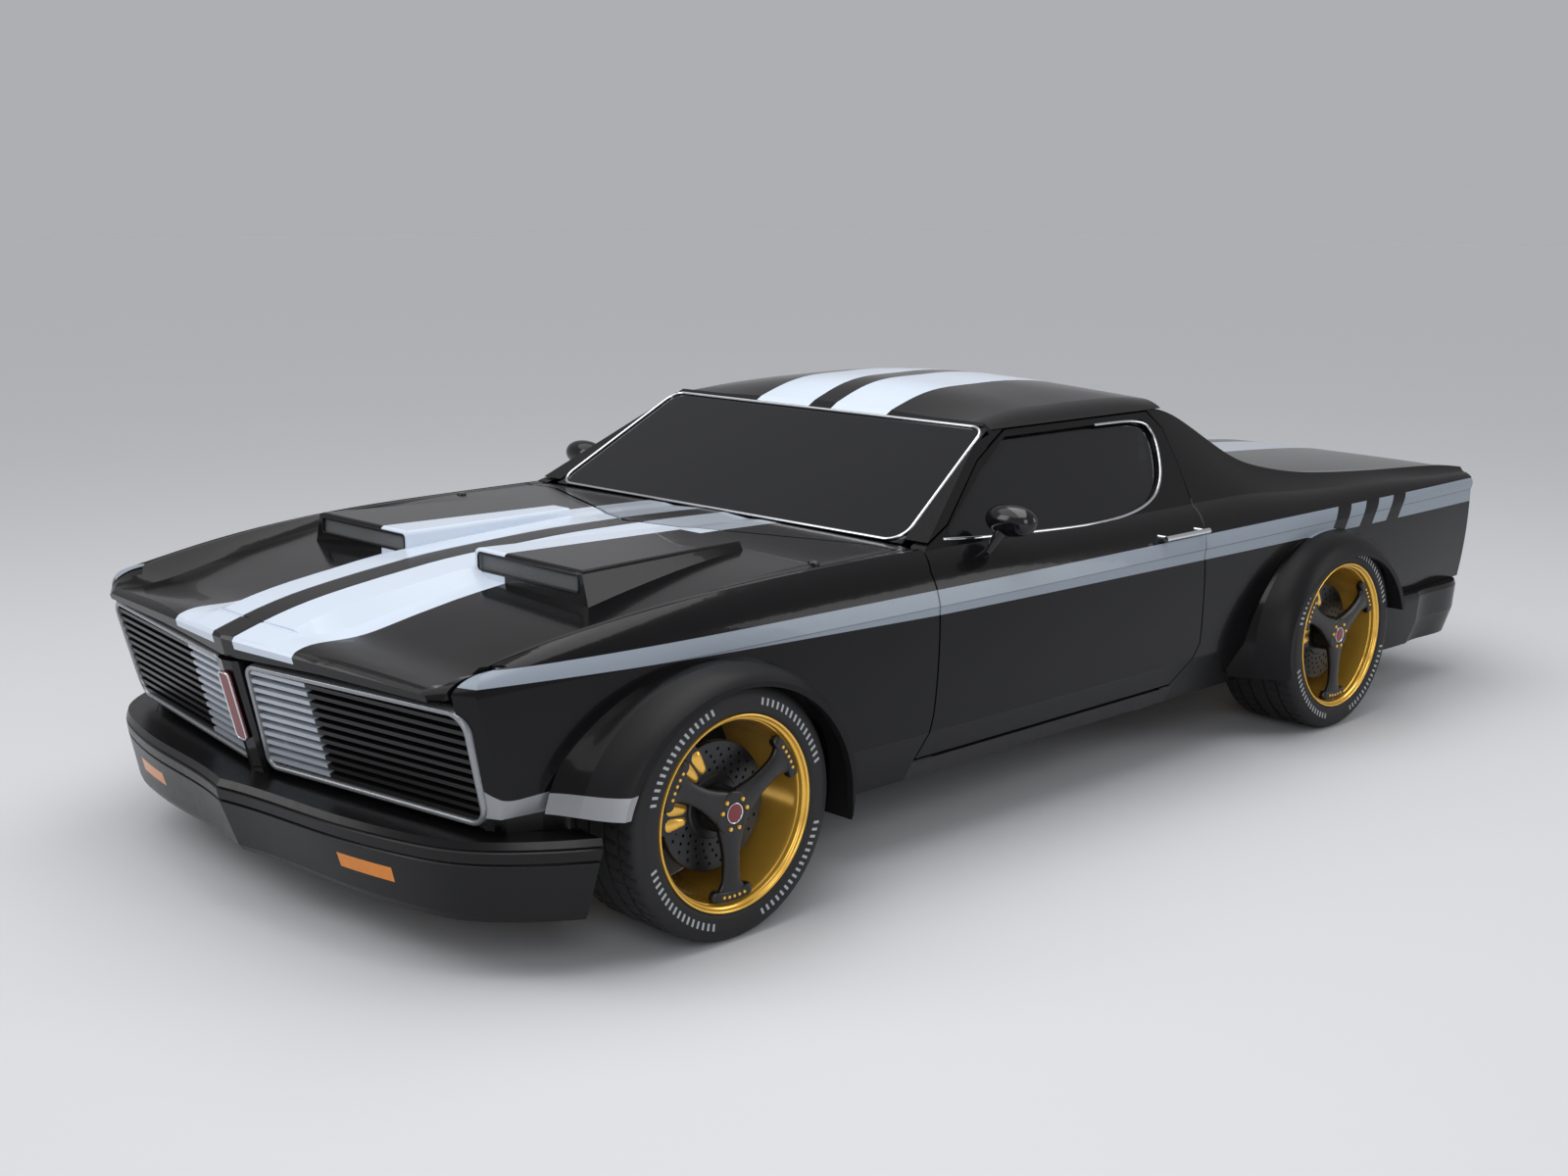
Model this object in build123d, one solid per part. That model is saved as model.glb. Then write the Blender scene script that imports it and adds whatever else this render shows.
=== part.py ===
"""Two-door muscle coupe with a pickup style rear deck, full size, millimetres.

+X is forward, +Y the car's left, +Z up. The origin is on the ground under the
middle of the car. Left-hand pieces are modelled and the right ones mirrored.
"""
from build123d import *
import os
from math import cos, sin, radians, hypot

os.makedirs("parts", exist_ok=True)

# Wheels and track
wheelbase = 2820
front_axle_x = 1570
rear_axle_x = front_axle_x - wheelbase
tyre_radius = 326
tyre_width = 290
wheel_y = 910                 # middle of the tyre
rim_radius = 248.5            # outside of the lip
barrel_wall = 7
lip_y = wheel_y + 142.7
spoke_count = 3
stud_count = 5
disc_radius = 165
hub_z = tyre_radius

# Body side
sill_z = 200
low_z = 350                   # lower crease
crease_z = 705                # middle of the side stripe
band_depth = 135              # depth of doors, fenders and quarter panels
rebate = 80                   # step under the belt, that the hood and lid lie over
shut_gap = 6
seat_gap = 0.3                # between pieces that rest on each other
tail_x = -2340
nose_x = 2349                 # lip on the centre line, at nose_z
nose_z = 700
nose_sweep = 0.10             # how fast the nose falls back sideways
nose_lean = 0.25              # and downwards
bumper_x = 2385

# Greenhouse
roof_edge_y = 685
roof_edge_z = 1118
belt_y = 880
belt_z = 834
side_slab = 46
screen_base = (700, 846)      # x, z of the windscreen's foot
screen_top = (224, 1136)
glass_thickness = 6

# Body side from nose to tail
# x, y of the sill, y of the lower crease, y of the side, y of the belt, z of the belt
side_table = [
    (2420, 790, 815, 842, 782, 640),
    (2150, 825, 862, 893, 838, 750),
    (1880, 852, 898, 927, 853, 797),
    (1570, 868, 925, 950, 864, 828),
    (1100, 870, 942, 962, 864, 843),
    (700, 870, 949, 970, 868, 845),
    (200, 870, 952, 975, belt_y, belt_z),
    (-300, 870, 952, 975, belt_y, belt_z),
    (-800, 868, 950, 974, belt_y, belt_z),
    (-1300, 861, 944, 969, 894, 808),
    (-1800, 850, 932, 960, 907, 793),
    (-2400, 828, 905, 938, 918, 762),
]
# Sail and rear rail above the belt
# x, y and z of the rail
rail_table = [
    (-400, roof_edge_y, roof_edge_z),
    (-620, roof_edge_y - 4, roof_edge_z),
    (-720, 692, 1088),
    (-845, 735, 1008),
    (-965, 784, 932),
    (-1130, 815, 886),
    (-1339, 835, 856),
    (-1713, 853, 829),
    (-2134, 879, 809),
    (-2400, 896, 780),
]
rail_width = 34
# Hood and cowl top: the edge follows the belt, with a valley each side of the middle
# x, z of the middle, z of the valley beside the middle, z of the valley beside the edge
hood_table = [
    (2420, 690, 672, 650), (2300, 735, 724, 702), (2250, 750, 736, 712), (2180, 770, 730, 706),
    (2040, 796, 749, 724), (1860, 820, 781, 761), (1700, 837, 802, 785), (1500, 848, 824, 812),
    (1230, 857, 846, 838), (1040, 857, 853, 845), (640, 849, 847, 844),
]
hood_thickness = 22
bulge_half = 170
# Roof
# x, z of the knee, z of the crown
roof_table = [
    (280, 1122, 1122),
    (224, 1135, 1140),
    (100, 1150, 1187),
    (-60, 1158, 1211),
    (-300, 1160, 1213),
    (-520, 1157, 1196),
    (-700, 1140, 1156),
]


def mirrored(shape):
    """The same shape on the car's right."""
    return mirror(shape, about=Plane.XZ)


def both(shape):
    """A pair of shapes, left and right, as one."""
    return Compound(children=[Part() + shape, Part() + mirrored(shape)])


def yz_face(x, edges):
    """Closed outline across the car at one x, from lists of (y, z) points:
    two points make a line, three a curve that is drawn towards the middle one."""
    made = []
    for points in edges:
        ends = [Vector(x, y, z) for y, z in points]
        made.append(Line(*ends) if len(ends) == 2 else Bezier(*ends))
    return make_face(Wire(made))


def xy_face(z, points, radius=0):
    """Plan outline at one height, with rounded corners."""
    face = make_face(Polyline([(x, y) for x, y in points], close=True))
    if radius:
        face = fillet(face.vertices(), radius)
    return Plane.XY.offset(z) * face


def side_cut(points, y_from, y_to, radius=0):
    """Block with the outline given as (x, z) points, between two y planes."""
    face = make_face(Polyline([(x, y_from, z) for x, z in points], close=True))
    if radius:
        face = fillet(face.vertices(), radius)
    return extrude(face, amount=y_to - y_from, dir=(0, 1, 0))


def block(x0, x1, y0, y1, z0, z1):
    """Box between two corners."""
    return Pos((x0 + x1) / 2, (y0 + y1) / 2, (z0 + z1) / 2) * Box(
        abs(x1 - x0), abs(y1 - y0), abs(z1 - z0))


def bow(a, b, height):
    """Middle point of a curve from a to b that bulges outwards by height."""
    length = hypot(b[0] - a[0], b[1] - a[1])
    normal = ((b[1] - a[1]) / length, -(b[0] - a[0]) / length)
    return ((a[0] + b[0]) / 2 + normal[0] * 2 * height,
            (a[1] + b[1]) / 2 + normal[1] * 2 * height)


def between(table, x, column):
    """Value of a column at x, by a smooth curve through the rows."""
    rows = sorted(table)
    x = min(max(x, rows[0][0]), rows[-1][0])
    i = next(k for k in range(len(rows) - 1) if x <= rows[k + 1][0])

    def slope_at(k):
        if k == 0 or k == len(rows) - 1:
            k0, k1 = (0, 1) if k == 0 else (k - 1, k)
            return (rows[k1][column] - rows[k0][column]) / (rows[k1][0] - rows[k0][0])
        before = (rows[k][column] - rows[k - 1][column]) / (rows[k][0] - rows[k - 1][0])
        after = (rows[k + 1][column] - rows[k][column]) / (rows[k + 1][0] - rows[k][0])
        return 0 if before * after <= 0 else 2 * before * after / (before + after)

    a, b = rows[i], rows[i + 1]
    step = b[0] - a[0]
    t = (x - a[0]) / step
    return ((2 * t ** 3 - 3 * t ** 2 + 1) * a[column] + (3 * t ** 2 - 2 * t ** 3) * b[column]
            + (t ** 3 - 2 * t ** 2 + t) * step * slope_at(i)
            + (t ** 3 - t ** 2) * step * slope_at(i + 1))


def even(table, step):
    """Rows at even steps along the car, so that lofts run without waves."""
    high, low = max(row[0] for row in table), min(row[0] for row in table)
    count = round((high - low) / step)
    stations = [high - (high - low) * k / count for k in range(count + 1)]
    return [(x, *(between(table, x, column) for column in range(1, len(table[0]))))
            for x in stations]


def write(name, shape):
    """One STEP file per node."""
    export_step(shape, f"parts/{name}.step")


# Body side forms, left half
def side_section(x, sill, low, side, belt, top):
    inner = side - band_depth
    s, l = (sill, sill_z), (low, low_z)
    c, b = (side, crease_z - max(0, 60 - (top - crease_z)) * 0.5), (belt, top)
    return yz_face(x, [
        [(inner, sill_z), s], [s, l], [l, bow(l, c, 9), c], [c, bow(c, b, 18), b],
        [b, (belt - 4, top - rebate)], [(belt - 4, top - rebate), (inner, top - rebate - 12)],
        [(inner, top - rebate - 12), (inner, sill_z)]])


def rail_section(x, rail_y, rail_z):
    """Sail and rail, from just under the belt to the rail's edge."""
    belt = (between(side_table, x, 4), between(side_table, x, 5))
    foot = (belt[0] - rail_width - 8, belt[1] - 26)
    outer = (belt[0] + 6, belt[1] - 14)
    start, rail = (belt[0] + 2, belt[1] - 3), (rail_y, rail_z)
    return yz_face(x, [
        [outer, start], [start, bow(start, rail, -3), rail], [rail, (rail_y - rail_width, rail_z)],
        [(rail_y - rail_width, rail_z), foot], [foot, outer]])


side_form = loft([side_section(*row) for row in even(side_table, 300)])
sail_form = loft([rail_section(*row) for row in even(rail_table, 110)])


def nose_outline(z, back=0):
    """Plan of the swept nose at one height."""
    x = nose_x - nose_lean * (nose_z - z) - back
    return xy_face(z, [(x, 0), (x - nose_sweep * 870, 870), (x - nose_sweep * 870, 1100),
                       (-2600, 1100), (-2600, 0)])


nose_form = loft([nose_outline(100), nose_outline(1000)], ruled=True)


def corner_outline(z):
    """What the slanting front corner of the fender leaves off, at one height."""
    x = nose_x - nose_lean * (nose_z - z)
    return xy_face(z, [(x - 76, 760), (x + 200, 760), (x + 200, 1100), (x - 249.5, 1100)])


nose_corner = loft([corner_outline(100), corner_outline(1000)], ruled=True)

# Door outlines on two planes, the inner one smaller at the back so that the door swings free
# x on the outer plane, x on the inner plane, z
door_table = [
    (768, 768, 262), (748, 748, 400), (746, 746, 690), (738, 738, 795), (702, 702, 851),
    (569, 569, 897), (325, 325, 1045), (141, 141, roof_edge_z),
    (-640, -560, roof_edge_z), (-690, -590, 1060), (-668, -560, 960), (-618, -510, 850),
    (-560, -450, 770), (-525, -410, 690), (-535, -415, 520), (-550, -430, 400), (-478, -370, 262),
]
door_planes = (1010, 600)


def door_form(inset=0):
    faces = []
    for plane, column in zip(door_planes, (0, 1)):
        outline = make_face(Polyline([(row[column], row[2]) for row in door_table], close=True))
        if inset:
            outline = offset(outline, amount=-inset, kind=Kind.INTERSECTION)
        faces.append(Plane((0, plane, 0), x_dir=(1, 0, 0), z_dir=(0, -1, 0)) * outline)
    return loft(faces, ruled=True)


door_hole = door_form()
door_block = door_form(shut_gap)

# Sloping side wall of the cabin above the belt
slope = (belt_y - roof_edge_y) / (roof_edge_z - belt_z)
side_wall = extrude(make_face(Polyline([
    (760, belt_y + slope * 30, belt_z - 30), (760, roof_edge_y - 6, roof_edge_z + 2),
    (760, roof_edge_y - side_slab, roof_edge_z - 4),
    (760, belt_y + slope * 30 - side_slab - 8, belt_z - 30)], close=True)),
    amount=760 + 640, dir=(-1, 0, 0))

# Windscreen plane
screen_run = screen_base[0] - screen_top[0]
screen_rise = screen_top[1] - screen_base[1]
screen_length = hypot(screen_run, screen_rise)
screen_plane = Plane((screen_base[0], 0, screen_base[1]), x_dir=(0, 1, 0),
                     z_dir=(screen_rise, 0, screen_run))
screen_foot_y = 785
screen_head_y = 697


def screen_plate(grow, low, high, depth, thickness):
    """Plate in the windscreen's plane, wider than the glass opening by grow on each side,
    between two distances up the screen, with its face a depth below the plane."""
    foot, head = (screen_foot_y + (screen_head_y - screen_foot_y) * v / screen_length + grow
                  for v in (low, high))
    face = make_face(Polyline([(-foot, low), (foot, low), (head, high), (-head, high)], close=True))
    return extrude(screen_plane.offset(-depth - thickness) * face, amount=thickness)


behind_screen = extrude(screen_plane * Rectangle(2400, 4000), amount=-1500)

# Flares over the wheels
flare_y = 1083
lip_wall = 1061
# axle x, middle of the opening in z, half width, top of the opening, flare radius in x and z
arch_table = {"front": (front_axle_x, 300, 375, 645, 448, 362),
              "rear": (rear_axle_x, 300, 362, 602, 440, 352)}


def arch_opening(end, y_from, y_to):
    x, z_mid, half, top, _, _ = arch_table[end]
    ellipse = Plane((x, y_from, z_mid), x_dir=(1, 0, 0), z_dir=(0, 1, 0)) * Ellipse(half, top - z_mid)
    lower = block(x - half, x + half, y_from, y_to, 0, z_mid)
    return extrude(ellipse, amount=y_to - y_from) + lower


def flare(end):
    """Domed lip round a wheel opening."""
    x, z_mid, half, top, wide, high = arch_table[end]
    cover = max(top + 31, hub_z + tyre_radius + 14) - hub_z
    rings = [(900, wide + 34, high + 26), (940, wide + 12, high + 9), (1050, half + 36, cover),
             (flare_y, half + 12, top - hub_z + 12)]
    dome = loft([Plane((x, y, hub_z), x_dir=(1, 0, 0), z_dir=(0, 1, 0)) * Ellipse(w, h)
                 for y, w, h in rings])
    return dome - block(x - 700, x + 700, 800, 1200, -200, 232)


steer_well = extrude(Plane((front_axle_x, 0, hub_z), x_dir=(1, 0, 0), z_dir=(0, 1, 0))
                     * Ellipse(390, 335), amount=lip_wall)
front_cut = arch_opening("front", 0, 1300) + steer_well
well_gap = 9
rear_well = Pos(rear_axle_x, wheel_y, hub_z) * revolve(make_face(Polyline([
    (0, -wheel_y, 0), (tyre_radius + 26, -wheel_y, 0), (tyre_radius + 26, 60, 0),
    (tyre_radius + well_gap, tyre_width / 2 - 27, 0), (tyre_radius - 4, tyre_width / 2 + 1, 0),
    (290, tyre_width / 2 + well_gap, 0), (0, tyre_width / 2 + well_gap, 0)], close=True)),
    axis=Axis.Y)
rear_cut = arch_opening("rear", 0, 1300) + rear_well


# Grille plane, left half: u runs outwards and v up from the middle of its top edge
grille_sweep = 0.131
grille_origin = (2335, 0, 635)
grille_plane = Plane(grille_origin, x_dir=(-grille_sweep, 1, 0), z_dir=(1, grille_sweep, -nose_lean))
grille_outline = [(66, -266), (846, -260), (853, 12), (77, 2)]
grille_depth = 40
surround_rim = 15
grille_corners = (22, 46, 40)   # inner, lower outer, upper outer
grille_middle = (460, -130)     # u, v


def grille_face(grow):
    """Outline of the grille opening, grown, with rounded corners."""
    face = make_face(Polyline(grille_outline, close=True))
    face = offset(face, amount=grow, kind=Kind.INTERSECTION) if grow else face
    u, v = grille_middle
    inner, lower, upper = (radius + grow for radius in grille_corners)
    face = fillet([p for p in face.vertices() if p.X < u], inner)
    face = fillet([p for p in face.vertices() if p.X > u and p.Y < v], lower)
    return fillet([p for p in face.vertices() if p.X > u and p.Y > v], upper)


grille_pocket = extrude(grille_plane * grille_face(surround_rim + 0.2), amount=-grille_depth)
grille_pocket = grille_pocket + extrude(grille_plane * grille_face(surround_rim + 0.2), amount=60)

# Sill between the wheels, that belongs to the floor
sill_ends = (-478, 768)
sill_top = 256
sill_space = block(sill_ends[0] - seat_gap, sill_ends[1] + seat_gap, 0, 1300, 0, sill_top + seat_gap)

# Roll of the front edge over the hood and the fenders
# y, then x and z where it starts on the nose, x and z where it ends on top
roll_table = [(0, 2355, 690, 2262, 747), (760, 2279, 678, 2190, 718), (960, 2177, 660, 2040, 782)]
clear_x, clear_z = 2500, 900   # ahead of and above the nose


def roll_face(y, x0, z0, x1, z1):
    """What the roll leaves off at one y: everything outside a curve from the nose to the top."""
    start, corner, end = Vector(x0, y, z0), Vector(x0 + 2, y, z1), Vector(x1, y, z1)
    above, far, ahead = Vector(x1, y, clear_z), Vector(clear_x, y, clear_z), Vector(clear_x, y, z0)
    return make_face(Wire([Bezier(start, corner, end), Line(end, above), Line(above, far),
                           Line(far, ahead), Line(ahead, start)]))


roll = loft([roll_face(*row) for row in roll_table[:2]], ruled=True)
roll = roll + loft([roll_face(*row) for row in roll_table[1:]], ruled=True)

# Front fender
grille_foot = 398
fender_back = block(690, 2500, 0, 1300, 0, 900) - block(front_axle_x, 2500, 0, 1300, 0, grille_foot)
fender = ((side_form & nose_form) - nose_corner - roll) & fender_back
fender = fender + (flare("front") - block(0, 3000, 0, 905, 0, 1000)
                   - block(front_axle_x, 2500, 0, 1300, 0, grille_foot))
fender = fender - door_hole - front_cut - grille_pocket - sill_space

# Quarter panel with the sail
quarter = (side_form + sail_form) & block(tail_x, -400, 0, 1300, 0, 1300)
quarter = quarter + (flare("rear") - block(-3000, 0, 0, 900, 0, 1000))
quarter = quarter - door_hole - rear_cut - sill_space

# Rubber stops that the doors close against
stop_z = (500, 560)
rear_stop = block(-525, -502, 812, 870, *stop_z) + block(-502, -440, 812, 839, *stop_z)
quarter = quarter + rear_stop
front_stop = block(754, 785, 808, 860, *stop_z) + block(700, 754, 808, 834, *stop_z)
fender = fender + front_stop

# Door with its window frame
window_table = [(612, 862), (440, 848), (200, 838), (0, 830), (-220, 833), (-385, 862),
                (-478, 915), (-535, 990), (-558, 1050), (-533, 1092), (-283, 1094), (155, 1094),
                (330, 1014), (500, 922)]
window_corner = 14
window_hole = side_cut(window_table, 500, 1100, window_corner)
door = ((side_form & block(-700, 800, 0, 1300, 0, 900)) + side_wall) & door_block
door = door - window_hole
glass_wall = Pos(0, -18, 0) * extrude(make_face(Polyline([
    (760, belt_y, belt_z - 2), (760, roof_edge_y, roof_edge_z - 2),
    (760, roof_edge_y - glass_thickness, roof_edge_z - 2),
    (760, belt_y - glass_thickness, belt_z - 2)], close=True)), amount=1400, dir=(-1, 0, 0))
door_glass = glass_wall & window_hole

# Hood and cowl from one top form


def top_section(x, middle, valley, outer):
    """Full width of the hood at one x."""
    edge = between(side_table, x, 4) - shut_gap
    top = between(side_table, x, 5) - 1
    low = min(outer, valley) - hood_thickness
    left = [(edge, low), (edge, top), (edge - 16, top), (edge - 62, outer), (bulge_half + 50, valley),
            (bulge_half, middle - 6), (40, middle), (-40, middle)]
    right = [(-y, z) for y, z in reversed(left[:-1])]
    line = left + right[1:]
    edges = [[(-edge, low), (edge, low)]]
    for a, b in zip(line, line[1:]):
        hollow = {a[1], b[1]} == {top, outer}
        edges.append([a, bow(a, b, -2.5), b] if hollow else [a, b])
    return yz_face(x, edges)


top_form = loft([top_section(*row) for row in even(hood_table, 100)])
full_nose = nose_form + mirrored(nose_form)
hood_back = [(2500, -1000), (764, -1000), (764, -700), (1049, 0), (764, 700), (764, 1000),
             (2500, 1000)]
hood_plan = extrude(xy_face(500, hood_back), amount=500)
cowl_plan = extrude(xy_face(500, [(1041 - shut_gap, 0), (756, 694), (756, 1000), (650, 1000),
                                  (650, -1000), (756, -1000), (756, -694)]), amount=500)
lip_depth = 42
lip_foot = 680
lip = (full_nose - Pos(-lip_depth, 0, 0) * full_nose) & block(2150, 2400, -776, 776, lip_foot, 694)
hood = (top_form & hood_plan & full_nose) - roll - mirrored(roll) + lip

# Air scoops on the hood
scoop_front_x = 1690
scoop_y = (162, 612)
scoop_top = 880
scoop_back_x = 1080
mouth_low, mouth_high = 822, 868


def scoop_outer():
    """Wedge that rises out of the hood towards the front."""
    y0, y1 = scoop_y
    front = make_face(Polyline([(scoop_front_x, y0 - 4, 775), (scoop_front_x, y1 + 30, 775),
                                (scoop_front_x, y1, scoop_top), (scoop_front_x, y0, scoop_top)],
                               close=True))
    back = make_face(Polyline([(scoop_back_x, y0 + 40, 842), (scoop_back_x, y1 - 60, 842),
                               (scoop_back_x, y1 - 80, 872), (scoop_back_x, y0 + 50, 872)],
                              close=True))
    return loft([front, back], ruled=True)


scoop = scoop_outer()
scoop_edge = 12
scoop = fillet([e for e in scoop.edges() if e.length > 400 and e.center().Z > 855], scoop_edge)
mouth_corner = 10
scoop_mouth = block(scoop_front_x - 130, scoop_front_x + 10, scoop_y[0] + 12, scoop_y[1] - 12,
                    mouth_low, mouth_high)
scoop_mouth = fillet(scoop_mouth.edges().filter_by(Axis.X), mouth_corner)
hood = hood + scoop + mirrored(scoop) - scoop_mouth - mirrored(scoop_mouth)
mesh_plate = block(scoop_front_x - 36, scoop_front_x - 30, scoop_y[0] + 12.3, scoop_y[1] - 12.3,
                   mouth_low + 0.3, mouth_high - 0.3)
mesh_plate = fillet(mesh_plate.edges().filter_by(Axis.X), mouth_corner)
scoop_mesh = both(mesh_plate)

# Buffers on the fender that the hood rests on
buffer_radius = 12
for x in (1200, 2000):
    y = between(side_table, x, 4) - 30
    stand = Pos(x, y, between(side_table, x, 5) - rebate) * Cylinder(buffer_radius, 80)
    fender = fender + ((stand & block(x - 50, x + 50, 0, 1000, 0, between(hood_table, x, 3) - 8))
                       - Pos(0, 0, -seat_gap) * hood)

cowl = top_form & cowl_plan
cowl = cowl - (behind_screen & block(0, 800, -1000, 1000, 700, 1300))

# Roof with the windscreen pillars and the header


def roof_section(x, knee, crown):
    y, z = roof_edge_y, roof_edge_z
    return yz_face(x, [
        [(-y + 40, z - 6), (y - 40, z - 6)], [(y - 40, z - 6), (y, z)],
        [(y, z), bow((y, z), (y - 80, knee), 6), (y - 80, knee)],
        [(y - 80, knee), (0, 2 * crown - knee), (80 - y, knee)],
        [(80 - y, knee), bow((80 - y, knee), (-y, z), 6), (-y, z)],
        [(-y, z), (-y + 40, z - 6)]])


def roof_inner(x, knee, crown):
    y, z = roof_edge_y - 45, roof_edge_z - 60
    return yz_face(x, [[(-y, z), (y, z)], [(y, z), (y - 60, knee - 32)],
                       [(y - 60, knee - 32), (0, crown - 30), (60 - y, knee - 32)],
                       [(60 - y, knee - 32), (-y, z)]])


roof_outer = loft([roof_section(*row) for row in even(roof_table, 100)])
roof_hollow = loft([roof_inner(*row) for row in even(roof_table[2:], 130)])
roof_end_x = -655
roof = (roof_outer & behind_screen & block(roof_end_x, 400, -800, 800, 1000, 1300)) - (
    roof_hollow & block(roof_end_x + 60, 100, -800, 800, 1000, 1300))

pillar_strip = screen_plate(90, -12, screen_length + 4, 0, 36)
pillar_strip = pillar_strip - screen_plate(-6, -50, screen_length - 12, -10, 80)
cabin_limit = extrude(make_face(Polyline([
    (900, -belt_y - slope * 100, belt_z - 100), (900, -roof_edge_y + slope * 100, roof_edge_z + 100),
    (900, roof_edge_y - slope * 100, roof_edge_z + 100), (900, belt_y + slope * 100, belt_z - 100)],
    close=True)), amount=1800, dir=(-1, 0, 0))
pillar_strip = pillar_strip & cabin_limit
pillar_side = side_wall & behind_screen & block(100, 760, 0, 1000, belt_z + 10, 1300)
pillars = pillar_strip + pillar_side + mirrored(pillar_side)
above_belt = block(-700, 760, -1000, 1000, 856, 1400)
roof = roof + (pillars & above_belt)
roof = roof - door_hole - mirrored(door_hole)
quarter = quarter - (roof_outer & block(roof_end_x, -400, 0, 800, 1000, 1300))

windscreen = screen_plate(-7, 10, screen_length - 14, 4, glass_thickness)
roof = roof - screen_plate(seat_gap - 7, -50, screen_length - 14 + seat_gap, -20, 60)

rear_pane = extrude(make_face(Polyline([
    (-640, -600, 1111.7), (-646, -600, 1111.7), (-668, -600, 880), (-662, -600, 880)], close=True)),
    amount=1200, dir=(0, 1, 0))

# Grille, its surround, the centre strip and the badge
surround_left = extrude(grille_plane * (grille_face(surround_rim) - grille_face(0)),
                        amount=-grille_depth)
grille_bar_count = 11
bar_height = 11
bar_depth = 22
bars = []
opening = extrude(grille_plane.offset(-6) * grille_face(0), amount=-bar_depth)
pitch = 270 / grille_bar_count
for k in range(grille_bar_count):
    v = -262 + pitch * (k + 0.5)
    bar = extrude(grille_plane.offset(-6) * (Pos(460, v) * Rectangle(860, bar_height)),
                  amount=-bar_depth)
    bars.append(bar & opening)
posts = [extrude(grille_plane.offset(-6 - bar_depth) * (Pos(u, -127) * Rectangle(10, 262)), amount=-10)
         & Pos(-10, 0, 0) * extrude(grille_plane * grille_face(0), amount=-60)
         for u in (120, 330, 580, 800)]
grille_left = Part() + bars + posts
strip_half = (35, 48)


def strip_face(z, half):
    x = 2339 - nose_lean * (635 - z)
    return xy_face(z, [(x + 8, 0), (x, 32), (x - 12, half), (x - 60, half),
                       (x - 60, -half), (x - 12, -half), (x, -32)])


strip = loft([strip_face(350.3, strip_half[0]), strip_face(656, strip_half[1])], ruled=True)
badge_plane = Plane((2347.2, 0, 635), x_dir=(0, 1, 0), z_dir=(1, 0, -nose_lean))
badge = extrude(badge_plane * (Pos(0, -105) * RectangleRounded(52, 190, 14)), amount=6)
strip = strip - extrude(badge_plane * (Pos(0, -105) * Rectangle(80, 220)), amount=40)

# Front bumper
bumper_plan = [(bumper_x, 0), (2352, 220), (2330, 440), (2288, 650), (2222, 820), (2120, 930),
               (2030, 995), (1958, 1036)]
bumper_back = [(1958, 960), (2030, 910), (2120, 830), (2200, 700), (2262, 440), (2296, 0)]


def bumper_face(z, back, side, plan, rear):
    """Plan of one half of a bumper at one height, set back from its fullest outline."""
    ahead = 1 if plan[0][0] > 0 else -1
    widest = plan[-1][1]
    front = [Vector(x - ahead * back * (1 - (y / widest) ** 2), y - side * (y / widest) ** 2, z)
             for x, y in plan]
    inner = [Vector(x - ahead * back * 0.3, max(y - side, 0), z) for x, y in rear]
    edges = [Spline(front), Line(front[-1], inner[0])]
    edges += [Line(p, q) for p, q in zip(inner, inner[1:])] + [Line(inner[-1], front[0])]
    return make_face(Wire(edges))


def bumper_form(levels, plan, rear):
    half = loft([bumper_face(*level, plan, rear) for level in levels], ruled=True)
    return half + mirrored(half)


# z, how far the face lies back at the middle, how far in at the sides
bumper_levels = [(150, 66, 34), (166, 54, 28), (292, 7, 5), (296, 13, 10), (301, 5, 3),
                 (326, 0, 0), (330, 7, 6), (335, 2, 2), (352, 12, 9)]
front_bumper = bumper_form(bumper_levels, bumper_plan, bumper_back)
bumper_end = side_cut([(1900, 400), (1962, 400), (1994, 100), (1900, 100)], 0, 1300)
front_bumper = front_bumper - bumper_end - mirrored(bumper_end)
# Shelf behind the bumper's top, and what fills the space under the fender's foot
shelf_z = 322
shelf_plan = [(2303, 0), (2271, 330), (2225, 640), (2168, 780), (2120, 780)]
shelf_plan = shelf_plan + [(x, -y) for x, y in reversed(shelf_plan[1:])]
shelf = extrude(xy_face(shelf_z, shelf_plan), amount=28)
filler_plan = [(2106, 846), (2030, 884), (1964, 902), (1964, 862), (2030, 844), (2106, 800)]
filler = extrude(xy_face(shelf_z, filler_plan), amount=grille_foot - seat_gap - shelf_z)
tie_z = (shelf_z, shelf_z + 23)
filler = filler + block(1970, 2010, 880, 940, *tie_z) + block(2040, 2080, 840, 900, *tie_z)
front_bumper = front_bumper + shelf + filler + mirrored(filler)
indicator_y = (440, 625)
indicator_z = (216, 254)
indicator_depth = 22
lamp_box = block(2200, 2400, *indicator_y, *indicator_z)
lamp_boxes = lamp_box + mirrored(lamp_box)
deep_part = Pos(-indicator_depth, 0, 0) * front_bumper
indicators = (front_bumper & lamp_boxes) - deep_part
front_bumper = front_bumper - indicators

# Rear bumper, tail panel and lamps
rear_plan = [(-bumper_x, 0), (-2384, 400), (-2370, 740), (-2335, 880), (-2265, 945), (-2150, 966),
             (-1930, 974)]
rear_back = [(-1930, 900), (-2150, 880), (-2250, 860), (-2285, 780), (-2300, 500), (-2305, 0)]
rear_levels = [(168, 92, 40), (262, 16, 8), (330, 2, 2), (350, 0, 0), (366, 8, 6)]
rear_bumper = bumper_form(rear_levels, rear_plan, rear_back)
bumper_top = rear_levels[-1][0] + seat_gap
tail_half = 800
tail_panel = block(-2335, -2300, -tail_half, tail_half, bumper_top, 782)
tail_lamp_y = (250, 760)
tail_lamp_z = (520, 650)
tail_pocket = block(-2340, -2312, *tail_lamp_y, *tail_lamp_z)
tail_panel = tail_panel - tail_pocket - mirrored(tail_pocket)
tail_lamps = both(block(-2336, -2312, *tail_lamp_y, *tail_lamp_z))
quarter = quarter - block(-2500, rear_axle_x, 0, 1300, 0, bumper_top + 0.5)

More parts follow.
